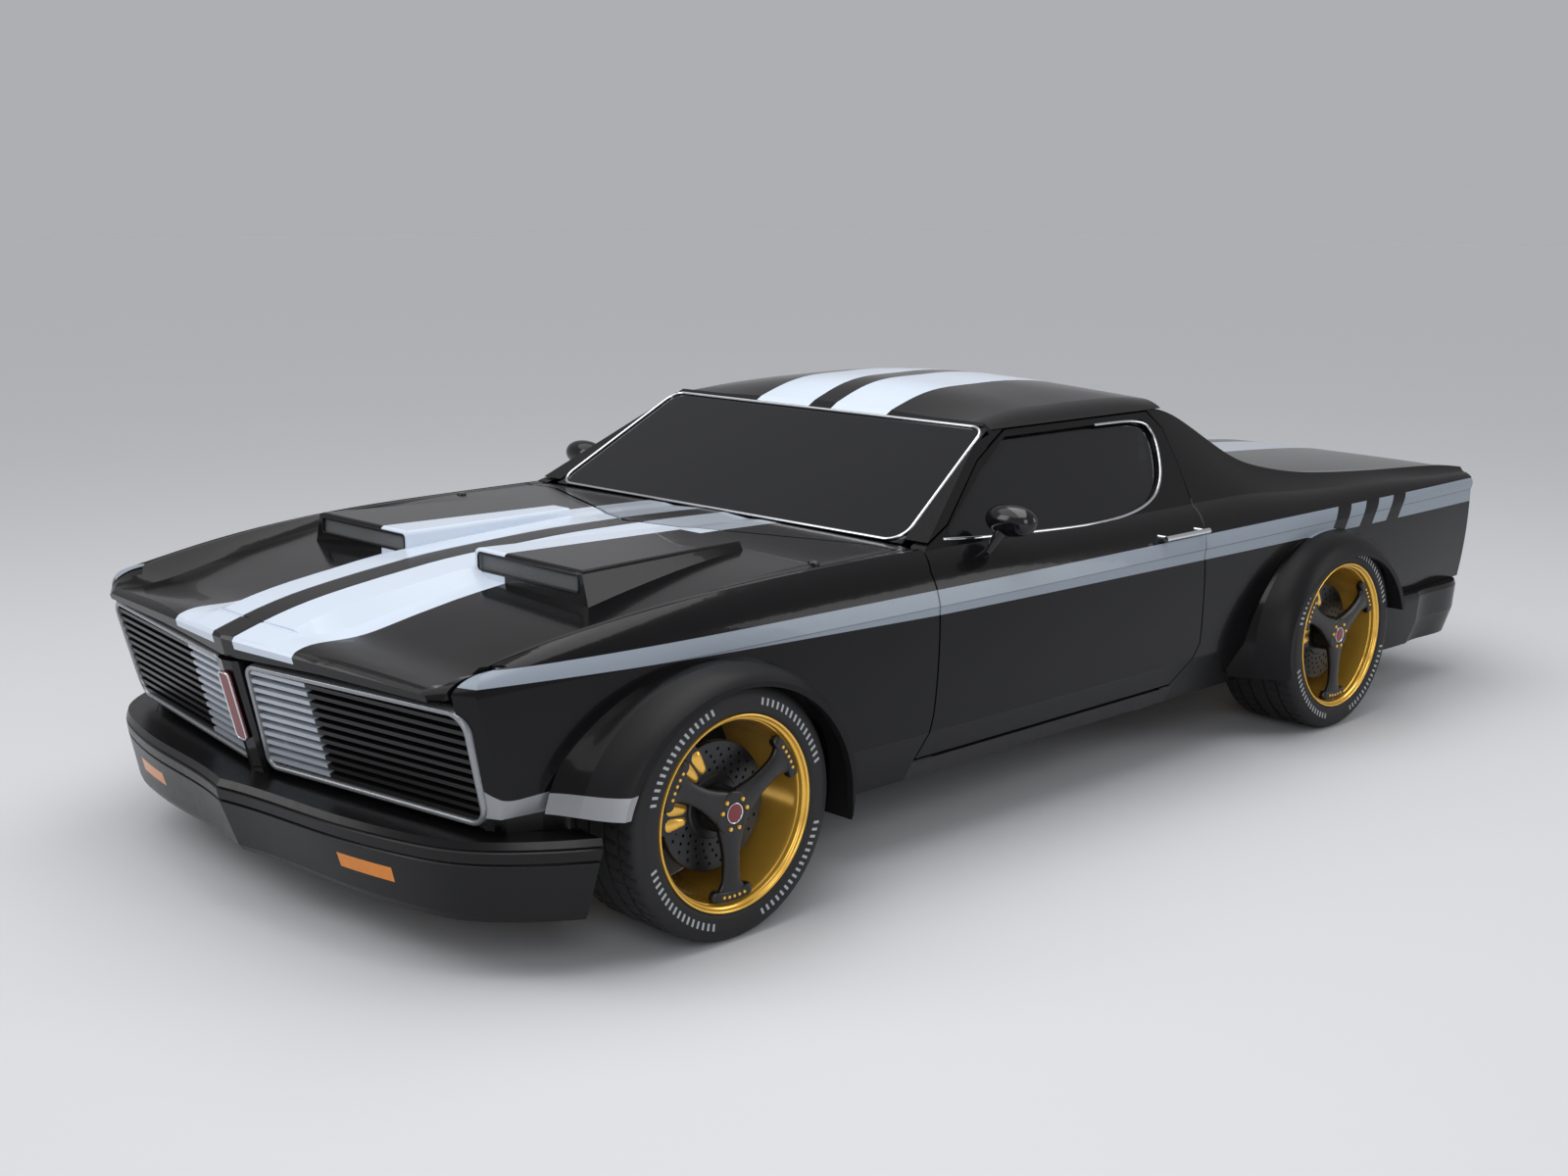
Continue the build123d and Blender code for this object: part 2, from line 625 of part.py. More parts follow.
# Deck lid and load bed
# x, half width, z of the edge, z of the middle
deck_table = [
    (-760, 622, 850, 876), (-965, 714, 846, 872), (-1130, 762, 842, 868), (-1339, 788, 836, 862),
    (-1713, 808, 822, 846), (-2134, 834, 800, 820), (-2294, 842, 788, 803),
]


def deck_section(x, half, edge, crown):
    return yz_face(x, [[(-half, edge - 24), (half, edge - 24)], [(half, edge - 24), (half, edge)],
                       [(half, edge), (0, 2 * crown - edge), (-half, edge)],
                       [(-half, edge), (-half, edge - 24)]])


deck_lid = loft([deck_section(*row) for row in even(deck_table, 190)])
quarter = quarter - loft([deck_section(x, half + shut_gap, edge + 40, crown + 40)
                          for x, half, edge, crown in even(deck_table, 190)])
bed_half = 735
bed_wall = 25
bed_floor = 470
bed_top = 742
cab_back = -690
load_bed = block(-2300, cab_back, -bed_half, bed_half, bed_floor - 20, bed_top)
load_bed = load_bed - block(-2300 + bed_wall, cab_back - bed_wall, -bed_half + bed_wall,
                            bed_half - bed_wall, bed_floor, bed_top + 10)

for x in (-900, -2200):
    y = bed_half - bed_wall / 2
    stand = Pos(x, y, bed_top + 20) * Cylinder(buffer_radius, 130)
    stand = (stand & block(x - 50, x + 50, 0, 1000, 0, between(deck_table, x, 2) - 12)) - (
        Pos(0, 0, -seat_gap) * deck_lid)
    load_bed = load_bed + stand + mirrored(stand)

# Floor, firewall, rails and cab back wall
floor_z = (232, 262)
floor_half = 826
rail_y = (390, 470)
floor = block(cab_back + 2, 1080, -floor_half, floor_half, *floor_z)
floor = floor + block(1050, 1080, -780, 780, floor_z[1], 800)
floor = floor + block(cab_back + 2, cab_back + 30, -bed_half, bed_half, floor_z[1], 842)
tunnel = block(cab_back + 30, 1050, -150, 150, floor_z[1], 400)
floor = floor + tunnel - block(cab_back - 10, 1100, -130, 130, 200, 380)
shelf_gap = 80                # room for the suspension towers beside the axle
for side in (1, -1):
    floor = floor + block(1080, 2119.7, side * rail_y[0], side * rail_y[1], 250, 330)
    floor = floor + block(-2290, cab_back + 2, side * rail_y[0], side * rail_y[1], 380, bed_floor - 20)
    floor = floor + block(1080, 2120, side * 565, side * 585, 310, 655)
    floor = floor - block(front_axle_x - 60, front_axle_x + 60, side * 560, side * 590, 430, 490)
    for x0, x1 in ((1080, front_axle_x - shelf_gap), (front_axle_x + shelf_gap, 2120)):
        floor = floor + block(x0, x1, side * rail_y[1], side * 565, 310, 330)
    floor = floor + block(*sill_ends, side * 820, side * 850, floor_z[0], sill_top)
    floor = floor + block(cab_back - 20, cab_back + 30, side * 380, side * 480, floor_z[0], bed_floor - 20)
sill_left = side_form & block(*sill_ends, 0, 1300, sill_z, sill_top)
floor = floor + sill_left + mirrored(sill_left)
tyre_space = front_cut & block(0, 3000, 600, 1300, 0, 1000)
floor = floor - tyre_space - mirrored(tyre_space)

# Shelf under the cowl, jacking pads under the sills, tie-down eyes under the rails
cowl_shelf_half = 330
floor = floor + block(764, 1080, -cowl_shelf_half, cowl_shelf_half, 760, 800)
floor = floor + block(764, 900, -cowl_shelf_half, cowl_shelf_half, 800, 821.7)
pad_x = (600, -360)
pad_y = 845
pad_z = 196
for x in pad_x:
    pad = block(x - 45, x + 45, pad_y - 22, pad_y + 22, pad_z, 215)
    floor = floor + pad + mirrored(pad)
eye_radius = 14
eye_plate = 20
for x, z, rail_z in ((2085, 212, 250), (-2060, 342, 380)):
    y = sum(rail_y) / 2
    eye = block(x - 34, x + 34, y - 34, y + 34, z - eye_plate / 2, z + eye_plate / 2)
    eye = eye + block(x - 34, x + 34, y - 34, y - 22, z, rail_z)
    eye = eye - Pos(x, y, z) * Cylinder(eye_radius, eye_plate + 2)
    floor = floor + eye + mirrored(eye)

# Wheels, built about the axle at the origin and facing +Y
lip_out = lip_y - wheel_y
half_tyre = tyre_width / 2


def turned(points):
    """Solid of revolution about the Y axis from (y, radius) points."""
    face = make_face(Polyline([(r, y, 0) for y, r in points], close=True))
    return revolve(face, axis=Axis.Y)


seat_radius = rim_radius - 8.8
tyre_form = turned([
    (-half_tyre + 17, seat_radius + 0.3), (-half_tyre + 2, 262), (-half_tyre, 285),
    (-half_tyre + 7, tyre_radius - 16), (-half_tyre + 27, tyre_radius - 3),
    (-half_tyre + 60, tyre_radius), (half_tyre - 60, tyre_radius),
    (half_tyre - 27, tyre_radius - 3), (half_tyre - 7, tyre_radius - 16), (half_tyre, 285),
    (half_tyre - 2, 262), (half_tyre - 17, seat_radius + 0.3)])
barrel_in = seat_radius - barrel_wall
rim_form = turned([
    (lip_out, rim_radius - 3), (lip_out - 3, rim_radius), (lip_out - 8, rim_radius),
    (lip_out - 8, seat_radius), (-lip_out + 8, seat_radius), (-lip_out + 8, rim_radius),
    (-lip_out, rim_radius), (-lip_out, barrel_in), (lip_out - 30, barrel_in - 4),
    (lip_out - 12, barrel_in - 1), (lip_out, barrel_in + 6)])
star_face = lip_out - 12
star_back = star_face - 28
foot_radius = barrel_in - 4.3
pin_radius = 22


def spoke():
    """One arm of the star, along +X, with its wide foot on the barrel."""
    arm = extrude(make_face(Polyline([
        (30, star_back, -30), (110, star_back, -21), (190, star_back, -24), (215, star_back, -34),
        (215, star_back, 34), (190, star_back, 24), (110, star_back, 21), (30, star_back, 30)],
        close=True)), amount=star_face - star_back - 4, dir=(0, 1, 0))
    ring = turned([(star_back - 2, foot_radius - 30), (star_face - 2, foot_radius - 30),
                   (star_face - 2, foot_radius), (star_back - 2, foot_radius)])
    foot = ring & extrude(make_face(Polyline([
        (100, star_back - 10, -30), (240, star_back - 10, -72), (240, star_back - 10, 72),
        (100, star_back - 10, 30)], close=True)), amount=60, dir=(0, 1, 0))
    return arm + foot


disc_y = (34, 56)
hub_radius = 60
star_form = turned([(disc_y[0], 0), (disc_y[0], disc_radius), (disc_y[1], disc_radius),
                    (disc_y[1], 78), (star_back, 70), (star_back, hub_radius),
                    (star_face, hub_radius - 4), (star_face, 0)])
for k in range(spoke_count):
    star_form = star_form + Rot(0, 90 + 360 / spoke_count * k, 0) * spoke()
star_form = star_form - Pos(0, disc_y[0] + 25, 0) * Rot(90, 0, 0) * Cylinder(pin_radius + 0.3, 60)
caliper_radius = 205


def caliper(angle):
    """Clamp over the disc's rim at an angle up from straight ahead."""
    body = block(118, caliper_radius, disc_y[0] - 26, disc_y[1] + 30, -42, 42)
    body = body - block(0, disc_radius + 5, disc_y[0] - 6, disc_y[1] + 6, -60, 60)
    return Rot(0, -angle, 0) * body


# Carrier inside the wheel: pin, upright and calipers
upright_half = 118
upright_face = disc_y[0] - 12
upright = block(-38, 38, -40, upright_face, -upright_half, upright_half)
upright = upright + Rot(90, 0, 0) * Cylinder(62, 2 * upright_face)
upright = upright + Pos(0, disc_y[0] + 2, 0) * Rot(90, 0, 0) * Cylinder(pin_radius, 80)
caliper_angles = (52, 5)
for angle in caliper_angles:
    upright = upright + caliper(angle) + Rot(0, -angle, 0) * block(
        30, 126, -26, upright_face, -24, 24)


def at_wheel(shape, x, side):
    """A left-hand wheel piece set at its axle, or its mirror on the right."""
    placed = Pos(x, wheel_y, hub_z) * shape
    return placed if side == "left" else mirrored(placed)


wheels = {}
for end, x in (("front", front_axle_x), ("rear", rear_axle_x)):
    for side in ("left", "right"):
        wheels[f"tyre_{end}_{side}"] = at_wheel(tyre_form, x, side)
        wheels[f"rim_{end}_{side}"] = at_wheel(rim_form, x, side)
        wheels[f"wheel_star_{end}_{side}"] = at_wheel(star_form, x, side)

# Front suspension: cross beam, towers and arms, with a knuckle each side
arm_z = upright_half + 3
king_y = wheel_y - 9
beam = block(front_axle_x - 55, front_axle_x + 55, -540, 540, 190, 250 - seat_gap)
for side in (1, -1):
    beam = beam + block(front_axle_x - 50, front_axle_x + 50, side * 480, side * 560, 190, 470)
    for z in (hub_z - arm_z - 22, hub_z + arm_z + 0.3):
        beam = beam + block(front_axle_x - 28, front_axle_x + 28, side * 540, side * (king_y + 20), z, z + 21.7)
knuckle_left = Pos(front_axle_x, wheel_y, hub_z) * upright
knuckle_left = knuckle_left + Pos(front_axle_x, king_y, hub_z) * Cylinder(20, 2 * arm_z)

# Rear axle with its springs
axle = Pos(rear_axle_x, 0, hub_z) * Rot(90, 0, 0) * Cylinder(44, 2 * (wheel_y - 20))
axle = axle + Pos(rear_axle_x, 0, hub_z) * Sphere(120)
rear_carrier = Pos(rear_axle_x, wheel_y, hub_z) * upright
axle = axle + rear_carrier + mirrored(rear_carrier)
spring_y = 430
for side in (1, -1):
    axle = axle + block(rear_axle_x - 560, rear_axle_x + 530, side * (spring_y - 32),
                        side * (spring_y + 32), hub_z - 66, hub_z - 40)
    for x in (rear_axle_x - 550, rear_axle_x + 520):
        axle = axle + block(x - 18, x + 18, side * (spring_y - 22), side * (spring_y + 22),
                            hub_z - 50, 379.7)

# Engine with its gearbox, the shaft to the rear axle and the exhaust
engine_x = (1150, 1790)
engine_half = 270
engine_z = (275, 700)
gearbox_x = 690
gearbox_half = 105
engine = block(*engine_x, -engine_half, engine_half, *engine_z)
engine = engine + block(gearbox_x, engine_x[0], -gearbox_half, gearbox_half, engine_z[0], 372)
for side in (1, -1):
    engine = engine + block(1400, 1480, side * engine_half, side * (rail_y[0] - seat_gap), 290, 325)
shaft_start = gearbox_x - seat_gap
shaft_end = rear_axle_x + 119
prop_shaft = Pos((shaft_start + shaft_end) / 2, 0, hub_z) * Rot(0, 90, 0) * Cylinder(
    36, shaft_start - shaft_end)
prop_shaft = prop_shaft - Pos(rear_axle_x, 0, hub_z) * Sphere(120.3)
pipe_z = 198
pipe_y = 250
exhaust_left = Pos(-500, pipe_y, pipe_z) * Rot(0, 90, 0) * Cylinder(28, 3300)
exhaust_left = exhaust_left + block(-650, 50, pipe_y - 110, pipe_y + 110, pipe_z - 40, pipe_z + 33.7)
exhaust_left = exhaust_left + block(1100, 1150, pipe_y - 20, pipe_y + 18, pipe_z, 275)
exhaust_left = exhaust_left + block(1100, 1200, pipe_y - 20, pipe_y + 18, 262, 274.7)

# Cabin: seats, dashboard and steering wheel
seat_y = 425


def seat_shape():
    """Bucket seat with side bolsters."""
    base = block(-150, 360, -240, 240, floor_z[1], 330)
    cushion = fillet(block(-170, 380, -255, 255, 330, 450).edges(), 40)
    back_face = make_face(Polyline([(-170, -250, 400), (-40, -250, 400), (-150, -250, 960),
                                    (-235, -250, 960)], close=True))
    back = fillet(extrude(back_face, amount=500, dir=(0, 1, 0)).edges(), 35)
    return base + cushion + back


seats = both(Pos(0, seat_y, 0) * seat_shape())
dashboard = fillet(block(480, 700, -790, 790, 610, 790).edges().filter_by(Axis.Y), 40)
for y in (-500, 500):
    dashboard = dashboard + block(690, 1049.7, y - 25, y + 25, 660, 700)
column_plane = Plane((300, seat_y, 720), x_dir=(0, 1, 0), z_dir=(cos(radians(22)), 0, -sin(radians(22))))
steering_wheel = column_plane * (Torus(178, 14) + Cylinder(46, 40)
                                 + Box(356, 36, 12) + Pos(0, -90, 0) * Box(36, 180, 12)
                                 + Pos(0, 0, 115) * Cylinder(24, 230))
steering_wheel = steering_wheel - dashboard

# Mirrors and handles on the doors
mirror_at = (430, 955, 905)
pod = Pos(*mirror_at) * revolve(make_face(Wire([
    Bezier(Vector(0, -86, 0), Vector(34, -86, 0), Vector(45, -40, 0), Vector(45, 0, 0)),
    Bezier(Vector(45, 0, 0), Vector(45, 40, 0), Vector(34, 84, 0), Vector(0, 84, 0)),
    Line(Vector(0, 84, 0), Vector(0, -86, 0))])), axis=Axis.Y)
stalk = loft([Plane((445, 940, 885), z_dir=(0.2, -0.6, -0.9)) * Circle(17),
              Plane((468, 902, 812), z_dir=(0.2, -0.6, -0.9)) * Circle(13)])
door_mirror = (pod + stalk) - door - door_glass
handle_x = (-513, -281)
handle_z = 768
handle_bar_y = 985
handle_left = Pos(sum(handle_x) / 2, handle_bar_y, handle_z) * Rot(0, 90, 0) * Cylinder(
    9, handle_x[1] - handle_x[0])
for x in (handle_x[0] + 20, handle_x[1] - 16):
    handle_left = handle_left + Pos(x, handle_bar_y - 25, handle_z) * Rot(90, 0, 0) * Cylinder(8, 50)
handle_left = handle_left - door

nodes = {
    "hood": hood, "cowl": cowl, "roof": roof, "windscreen": windscreen,
    "rear_window": rear_pane, "scoop_mesh": scoop_mesh,
    "grille": grille_left + mirrored(grille_left),
    "grille_surround": surround_left + mirrored(surround_left),
    "nose_strip": strip, "badge": badge, "front_bumper": front_bumper,
    "indicators": indicators, "rear_bumper": rear_bumper, "tail_panel": tail_panel,
    "tail_lamps": tail_lamps, "deck_lid": deck_lid, "load_bed": load_bed, "floor": floor,
    "front_suspension": beam, "rear_axle": axle, "engine": engine, "prop_shaft": prop_shaft,
    "exhaust": both(exhaust_left), "seats": seats, "dashboard": dashboard,
    "steering_wheel": steering_wheel,
}
nodes.update(wheels)
for name, shape in (("front_fender", fender), ("quarter", quarter), ("door", door),
                    ("door_glass", door_glass), ("knuckle", knuckle_left),
                    ("door_mirror", door_mirror), ("door_handle", handle_left)):
    nodes[f"{name}_left"] = shape
    nodes[f"{name}_right"] = mirrored(shape)
for name, shape in nodes.items():
    print(name, len(shape.solids()), round(shape.volume / 1e6, 2), "litres")
    write(name, shape)
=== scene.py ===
# Low black muscle car with a covered rear deck: looks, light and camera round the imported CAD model.
import bmesh
import bpy
import numpy as np
from mathutils import Matrix, Vector


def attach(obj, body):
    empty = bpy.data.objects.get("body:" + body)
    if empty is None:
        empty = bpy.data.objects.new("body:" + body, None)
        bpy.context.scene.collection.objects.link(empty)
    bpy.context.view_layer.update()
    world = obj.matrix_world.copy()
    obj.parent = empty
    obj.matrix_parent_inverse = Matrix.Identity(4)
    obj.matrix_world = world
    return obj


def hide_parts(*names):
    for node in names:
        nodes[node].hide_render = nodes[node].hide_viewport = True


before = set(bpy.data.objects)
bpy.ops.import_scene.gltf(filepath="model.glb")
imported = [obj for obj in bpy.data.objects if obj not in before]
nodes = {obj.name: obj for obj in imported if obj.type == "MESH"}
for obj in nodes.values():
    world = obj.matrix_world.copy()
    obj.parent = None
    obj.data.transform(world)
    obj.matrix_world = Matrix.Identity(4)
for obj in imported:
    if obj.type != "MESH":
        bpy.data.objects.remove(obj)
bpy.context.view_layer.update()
print("frame loaded:", len(nodes), "nodes")


# Camera, floor and light
shot = {"place": (4.6517, 4.3665, 1.8176), "yaw": -2.34428519, "pitch": -0.20282, "roll": 0.0044,
        "lens": 44.747, "sensor": 36, "farthest": 200}


def addCamera():
    # Yaw and pitch give the view direction, roll turns the frame about it
    yaw, pitch, roll = shot["yaw"], shot["pitch"], shot["roll"]
    ahead = Vector((np.cos(pitch) * np.cos(yaw), np.cos(pitch) * np.sin(yaw), np.sin(pitch)))
    right = Vector((np.sin(yaw), -np.cos(yaw), 0))
    up = right.cross(ahead)
    turnedRight = right * float(np.cos(roll)) + up * float(np.sin(roll))
    turnedUp = turnedRight.cross(ahead)
    data = bpy.data.cameras.new("camera")
    data.lens, data.sensor_width, data.clip_end = shot["lens"], shot["sensor"], shot["farthest"]
    camera = bpy.data.objects.new("camera", data)
    camera.matrix_world = Matrix((turnedRight, turnedUp, -ahead)).transposed().to_4x4()
    camera.location = shot["place"]
    bpy.context.scene.collection.objects.link(camera)
    bpy.context.scene.camera = camera


addCamera()
bpy.context.scene.view_settings.view_transform = "Standard"

studio = {"floorSize": 60, "floorColors": [(0.62, 0.63, 0.65), (0.55, 0.56, 0.58)],
          "floorClouds": (1.3, 0.08), "horizon": (0.42, 0.42588, 0.4431, 1),
          "zenith": (0.36, 0.36, 0.3708, 1), "fade": (0.095, 0.2),
          "sun": {"strength": 1.1, "angle": 1.2, "turn": (0.25, 0.3, 0)},
          "softboxes": [  # name, place, aimed at, width, length, watts
              ("overhead", (0.4, 0.3, 4.6), (0, 0, 0), 2.6, 6.0, 110),
              ("frontSide", (5.2, 5.8, 3.2), (0.8, 0.4, 0.4), 3.0, 4.0, 110),
              ("frontFar", (6.0, -3.5, 3.4), (0.5, 0, 0.5), 2.5, 3.5, 80),
              ("rearSide", (-4.5, 5.5, 2.8), (-0.8, 0.5, 0.5), 2.5, 3.5, 70)]}


# Shader maths: a wire wraps one socket, and sums of wires add their nodes
class Wire:
    def __init__(self, board, socket):
        self.board, self.socket = board, socket

    def math(self, operation, *values, clamp=False):
        inputs = dict(enumerate((self, *values)))
        return self.board.add("ShaderNodeMath", {"operation": operation, "use_clamp": clamp}, inputs)

    def mathFrom(self, operation, number):
        return self.board.add("ShaderNodeMath", {"operation": operation}, {0: number, 1: self})

    def __add__(self, other): return self.math("ADD", other)
    def __radd__(self, other): return self.math("ADD", other)
    def __sub__(self, other): return self.math("SUBTRACT", other)
    def __rsub__(self, other): return self.mathFrom("SUBTRACT", other)
    def __mul__(self, other): return self.math("MULTIPLY", other)
    def __rmul__(self, other): return self.math("MULTIPLY", other)
    def __truediv__(self, other): return self.math("DIVIDE", other)
    def __rtruediv__(self, other): return self.mathFrom("DIVIDE", other)
    def __abs__(self): return self.math("ABSOLUTE")
    def atLeast(self, other): return self.math("MAXIMUM", other)
    def atMost(self, other): return self.math("MINIMUM", other)
    def frac(self): return self.math("FRACT")
    def sine(self): return self.math("SINE")
    def clamped(self): return self.math("ADD", 0.0, clamp=True)
    def above(self, edge, soft=0.0006): return ((self - edge) / soft + 0.5).clamped()
    def below(self, edge, soft=0.0006): return ((edge - self) / soft + 0.5).clamped()
    def inside(self, low, high, soft=0.0006): return self.above(low, soft) * self.below(high, soft)


class Board:
    # The nodes of one material or of the world
    def __init__(self, tree):
        self.tree = tree

    def feed(self, socket, value):
        # A wire is linked to the socket, anything else is set on it
        if isinstance(value, Wire):
            self.tree.links.new(value.socket, socket)
        else:
            socket.default_value = value

    def add(self, kind, settings, inputs, output=0):
        node = self.tree.nodes.new(kind)
        for key, value in settings.items():
            if key == "stops":
                for element, (place, color) in zip(node.color_ramp.elements, value):
                    element.position, element.color = place, color
            else:
                setattr(node, key, value)
        for key, value in inputs.items():
            self.feed(node.inputs[key], value)
        return Wire(self, node.outputs[output])


class Paint(Board):
    # One material round a principled shader
    def __init__(self, name, **constants):
        self.material = bpy.data.materials.new(name)
        self.material.use_nodes = True
        super().__init__(self.material.node_tree)
        self.tree.nodes.clear()
        self.shader = self.tree.nodes.new("ShaderNodeBsdfPrincipled")
        out = self.tree.nodes.new("ShaderNodeOutputMaterial")
        self.tree.links.new(self.shader.outputs[0], out.inputs[0])
        self.place = self.add("ShaderNodeTexCoord", {}, {}, "Object")
        self.set(**constants)

    def set(self, **values):
        names = {"color": "Base Color", "rough": "Roughness", "metal": "Metallic", "coat": "Coat Weight",
                 "coatRough": "Coat Roughness", "alpha": "Alpha", "normal": "Normal", "ior": "IOR",
                 "specular": "Specular IOR Level"}
        for key, value in values.items():
            self.feed(self.shader.inputs[names[key]], value)

    def axes(self):
        # The three object coordinates
        split = self.add("ShaderNodeSeparateXYZ", {}, {0: self.place})
        return [Wire(self, output) for output in split.socket.node.outputs]

    def mix(self, factor, first, second):
        # Colour between two colours
        first, second = [c if isinstance(c, Wire) else (*c, 1) for c in (first, second)]
        return self.add("ShaderNodeMix", {"data_type": "RGBA"}, {0: factor, 6: first, 7: second}, 2)

    def noise(self, scale, detail=3):
        return self.add("ShaderNodeTexNoise", {}, {"Vector": self.place, "Scale": scale, "Detail": detail})

    def bump(self, height, strength, distance=0.001):
        inputs = {"Height": height, "Strength": strength, "Distance": distance}
        self.set(normal=self.add("ShaderNodeBump", {}, inputs))


def addFloor():
    floor = Paint("floorPaint", rough=0.85, specular=0.05)
    scale, share = studio["floorClouds"]
    floor.set(color=floor.mix(floor.noise(scale, 2) * share, *studio["floorColors"]))
    size = studio["floorSize"]
    mesh = bpy.data.meshes.new("floor")
    mesh.from_pydata([(-size, -size, 0), (size, -size, 0), (size, size, 0), (-size, size, 0)], [],
                     [(0, 1, 2, 3)])
    piece = bpy.data.objects.new("floor", mesh)
    bpy.context.scene.collection.objects.link(piece)
    mesh.materials.append(floor.material)


def addWorld():
    # The background's colour follows the height of the direction looked in
    world = bpy.data.worlds.new("studio")
    bpy.context.scene.world = world
    world.use_nodes = True
    board = Board(world.node_tree)
    direction = board.add("ShaderNodeTexCoord", {}, {}, "Generated")
    height = board.add("ShaderNodeSeparateXYZ", {}, {0: direction}, 2)
    stops = list(zip(studio["fade"], (studio["horizon"], studio["zenith"])))
    board.feed(board.tree.nodes["Background"].inputs["Color"],
               board.add("ShaderNodeValToRGB", {"stops": stops}, {0: height}))


def addLamps():
    for name, place, aim, width, length, watts in studio["softboxes"]:
        data = bpy.data.lights.new(name, "AREA")
        data.shape, data.size, data.size_y, data.energy = "RECTANGLE", width, length, watts
        lamp = bpy.data.objects.new(name, data)
        lamp.matrix_world = (Vector(aim) - Vector(place)).to_track_quat("-Z", "Y").to_matrix().to_4x4()
        lamp.location = place
        bpy.context.scene.collection.objects.link(lamp)
    data = bpy.data.lights.new("sky", "SUN")
    data.energy, data.angle = studio["sun"]["strength"], studio["sun"]["angle"]
    lamp = bpy.data.objects.new("sky", data)
    lamp.rotation_euler = studio["sun"]["turn"]
    bpy.context.scene.collection.objects.link(lamp)


addFloor()
addWorld()
addLamps()
print("studio ready")

# Body colours; the flare colour is lighter than the black partly as a painted sheen
look = {"black": (0.0035, 0.0035, 0.004), "stripe": (0.60, 0.67, 0.77), "sideStripe": (0.26, 0.30, 0.35),
        "gold": (0.96, 0.56, 0.085), "chrome": (0.82, 0.84, 0.86), "flare": (0.011, 0.011, 0.012),
        "satin": (0.33, 0.34, 0.36)}
lacquer = {"rough": 0.16, "clouds": 0.05, "cloudScale": 60, "fleckScale": 900, "fleckLift": 1.9,
           "coatRough": 0.02, "ior": 1.45, "coat": 0.22, "specular": 0.17, "sideCoat": 0.18,
           "sideSpecular": 0.15}
stripes = {"inner": 0.05, "outer": 0.29}
sideBand = {"front": 2.262, "tail": -2.342, "top": 0.749, "knee": 0.74, "kneeBottom": 0.683,
            "riseAhead": 0.0237, "fallBehind": 0.0075, "crease": 0.7055, "creaseHalf": 0.0015,
            "skin": 0.925, "skinFrom": 0.8, "skinFall": 0.045}
flares = {"start": 0.984, "soft": 0.004, "top": 0.70}
gaps = {"first": -1.379, "pitch": 0.1915, "half": 0.0445, "slant": 0.72, "level": 0.737}
lowBand = {"corner": 2.095, "height": 0.440, "rise": 0.07, "highest": 0.453, "sweep": 65, "tail": 1.62}

# Just under each panel's top, to keep the stripes off its underside: highest z, where, fall, least z
skins = {"hood": (0.838, 1.1, 0.13, 0.6895), "roof": (1.182, -0.25, 0.30, 0),
         "deck": (0.848, -0.86, 0.031, 0)}


def lacquerPaint(name, **constants):
    # Material, its black with fine flecks, and its roughness with soft clouds
    paint = Paint(name, coatRough=lacquer["coatRough"], ior=lacquer["ior"], **constants)
    lifted = tuple(lacquer["fleckLift"] * c for c in look["black"])
    color = paint.mix(paint.noise(lacquer["fleckScale"], 1) * 0.5, look["black"], lifted)
    return paint, color, lacquer["rough"] + paint.noise(lacquer["cloudScale"], 2) * lacquer["clouds"]


def gloss(name, stripeLightLevel, skin=None):
    # Black lacquer with the two long stripes; a stripe light level under 1 darkens them as painted shade, and
    # 0 leaves them out
    paint, color, rough = lacquerPaint(name, coat=lacquer["coat"], specular=lacquer["specular"])
    x, y, z = paint.axes()
    if stripeLightLevel:
        mask = abs(y).inside(stripes["inner"], stripes["outer"])
        if skin:
            highest, at, fall, least = skins[skin]
            away = x - at
            mask = mask * (z - (highest - away * away * fall).atLeast(least)).above(0.0)
        # Stripes scaled below their full colour are painted shade
        color = paint.mix(mask, color, tuple(c * stripeLightLevel for c in look["stripe"]))
    paint.set(color=color, rough=rough)
    return paint.material


def sideGloss():
    # Black lacquer with the thin side band, its slanting gaps and a painted shade line along its crease, the
    # grey band that runs back from the grille over the bumper, and satin flares whose lighter colour is
    # partly a painted sheen
    paint, color, rough = lacquerPaint("sidePaint", specular=lacquer["sideSpecular"])
    x, y, z = paint.axes()
    out = abs(y)
    bottom = (sideBand["kneeBottom"] + (x - sideBand["knee"]).atLeast(0.0) * sideBand["riseAhead"]
              - (sideBand["knee"] - x).atLeast(0.0) * sideBand["fallBehind"])
    band = (z - bottom).above(0.0) * z.below(sideBand["top"]) * x.inside(sideBand["tail"], sideBand["front"])
    nose = (x - sideBand["skinFrom"]).atLeast(0.0)  # the band stays on the outer skin
    band = band * (out - (sideBand["skin"] - nose * nose * sideBand["skinFall"])).above(0.0)
    # Three gaps: the middles of cells along a slanting measure, moved on by whole cells to stay positive
    across = x + (z - gaps["level"]) * gaps["slant"]
    cell = abs(((across - gaps["first"]) / gaps["pitch"] + 20.5).frac() - 0.5) * gaps["pitch"]
    cuts = cell.below(gaps["half"]) * across.inside(gaps["first"] - 2.5 * gaps["pitch"],
                                                    gaps["first"] + 0.5 * gaps["pitch"])
    flare = out.above(flares["start"], flares["soft"]) * z.below(flares["top"])
    back = (lowBand["corner"] - x).atLeast(0.0) * lowBand["rise"]
    past = (x - lowBand["corner"]).atLeast(0.0)
    ahead = past * past * past * lowBand["sweep"]
    low = z.below((back + lowBand["height"]).atMost(lowBand["highest"]) + ahead) * x.above(lowBand["tail"])
    # A thin darker line along the band's crease is painted shade
    half = sideBand["creaseHalf"]
    creaseShade = z.inside(sideBand["crease"] - half, sideBand["crease"] + half, half)
    bandColor = paint.mix(creaseShade * 0.45, look["sideStripe"], look["black"])
    # The flares' lighter colour is partly a painted sheen over their real satin finish
    color = paint.mix(flare, color, look["flare"])
    color = paint.mix(band * (1 - cuts) * (1 - flare), color, bandColor)
    paint.set(color=paint.mix(low, color, look["satin"]), metal=low * 0.6,
              coat=(1 - flare) * (1 - low) * lacquer["sideCoat"], rough=rough + flare * 0.2 + low * 0.12)
    return paint.material


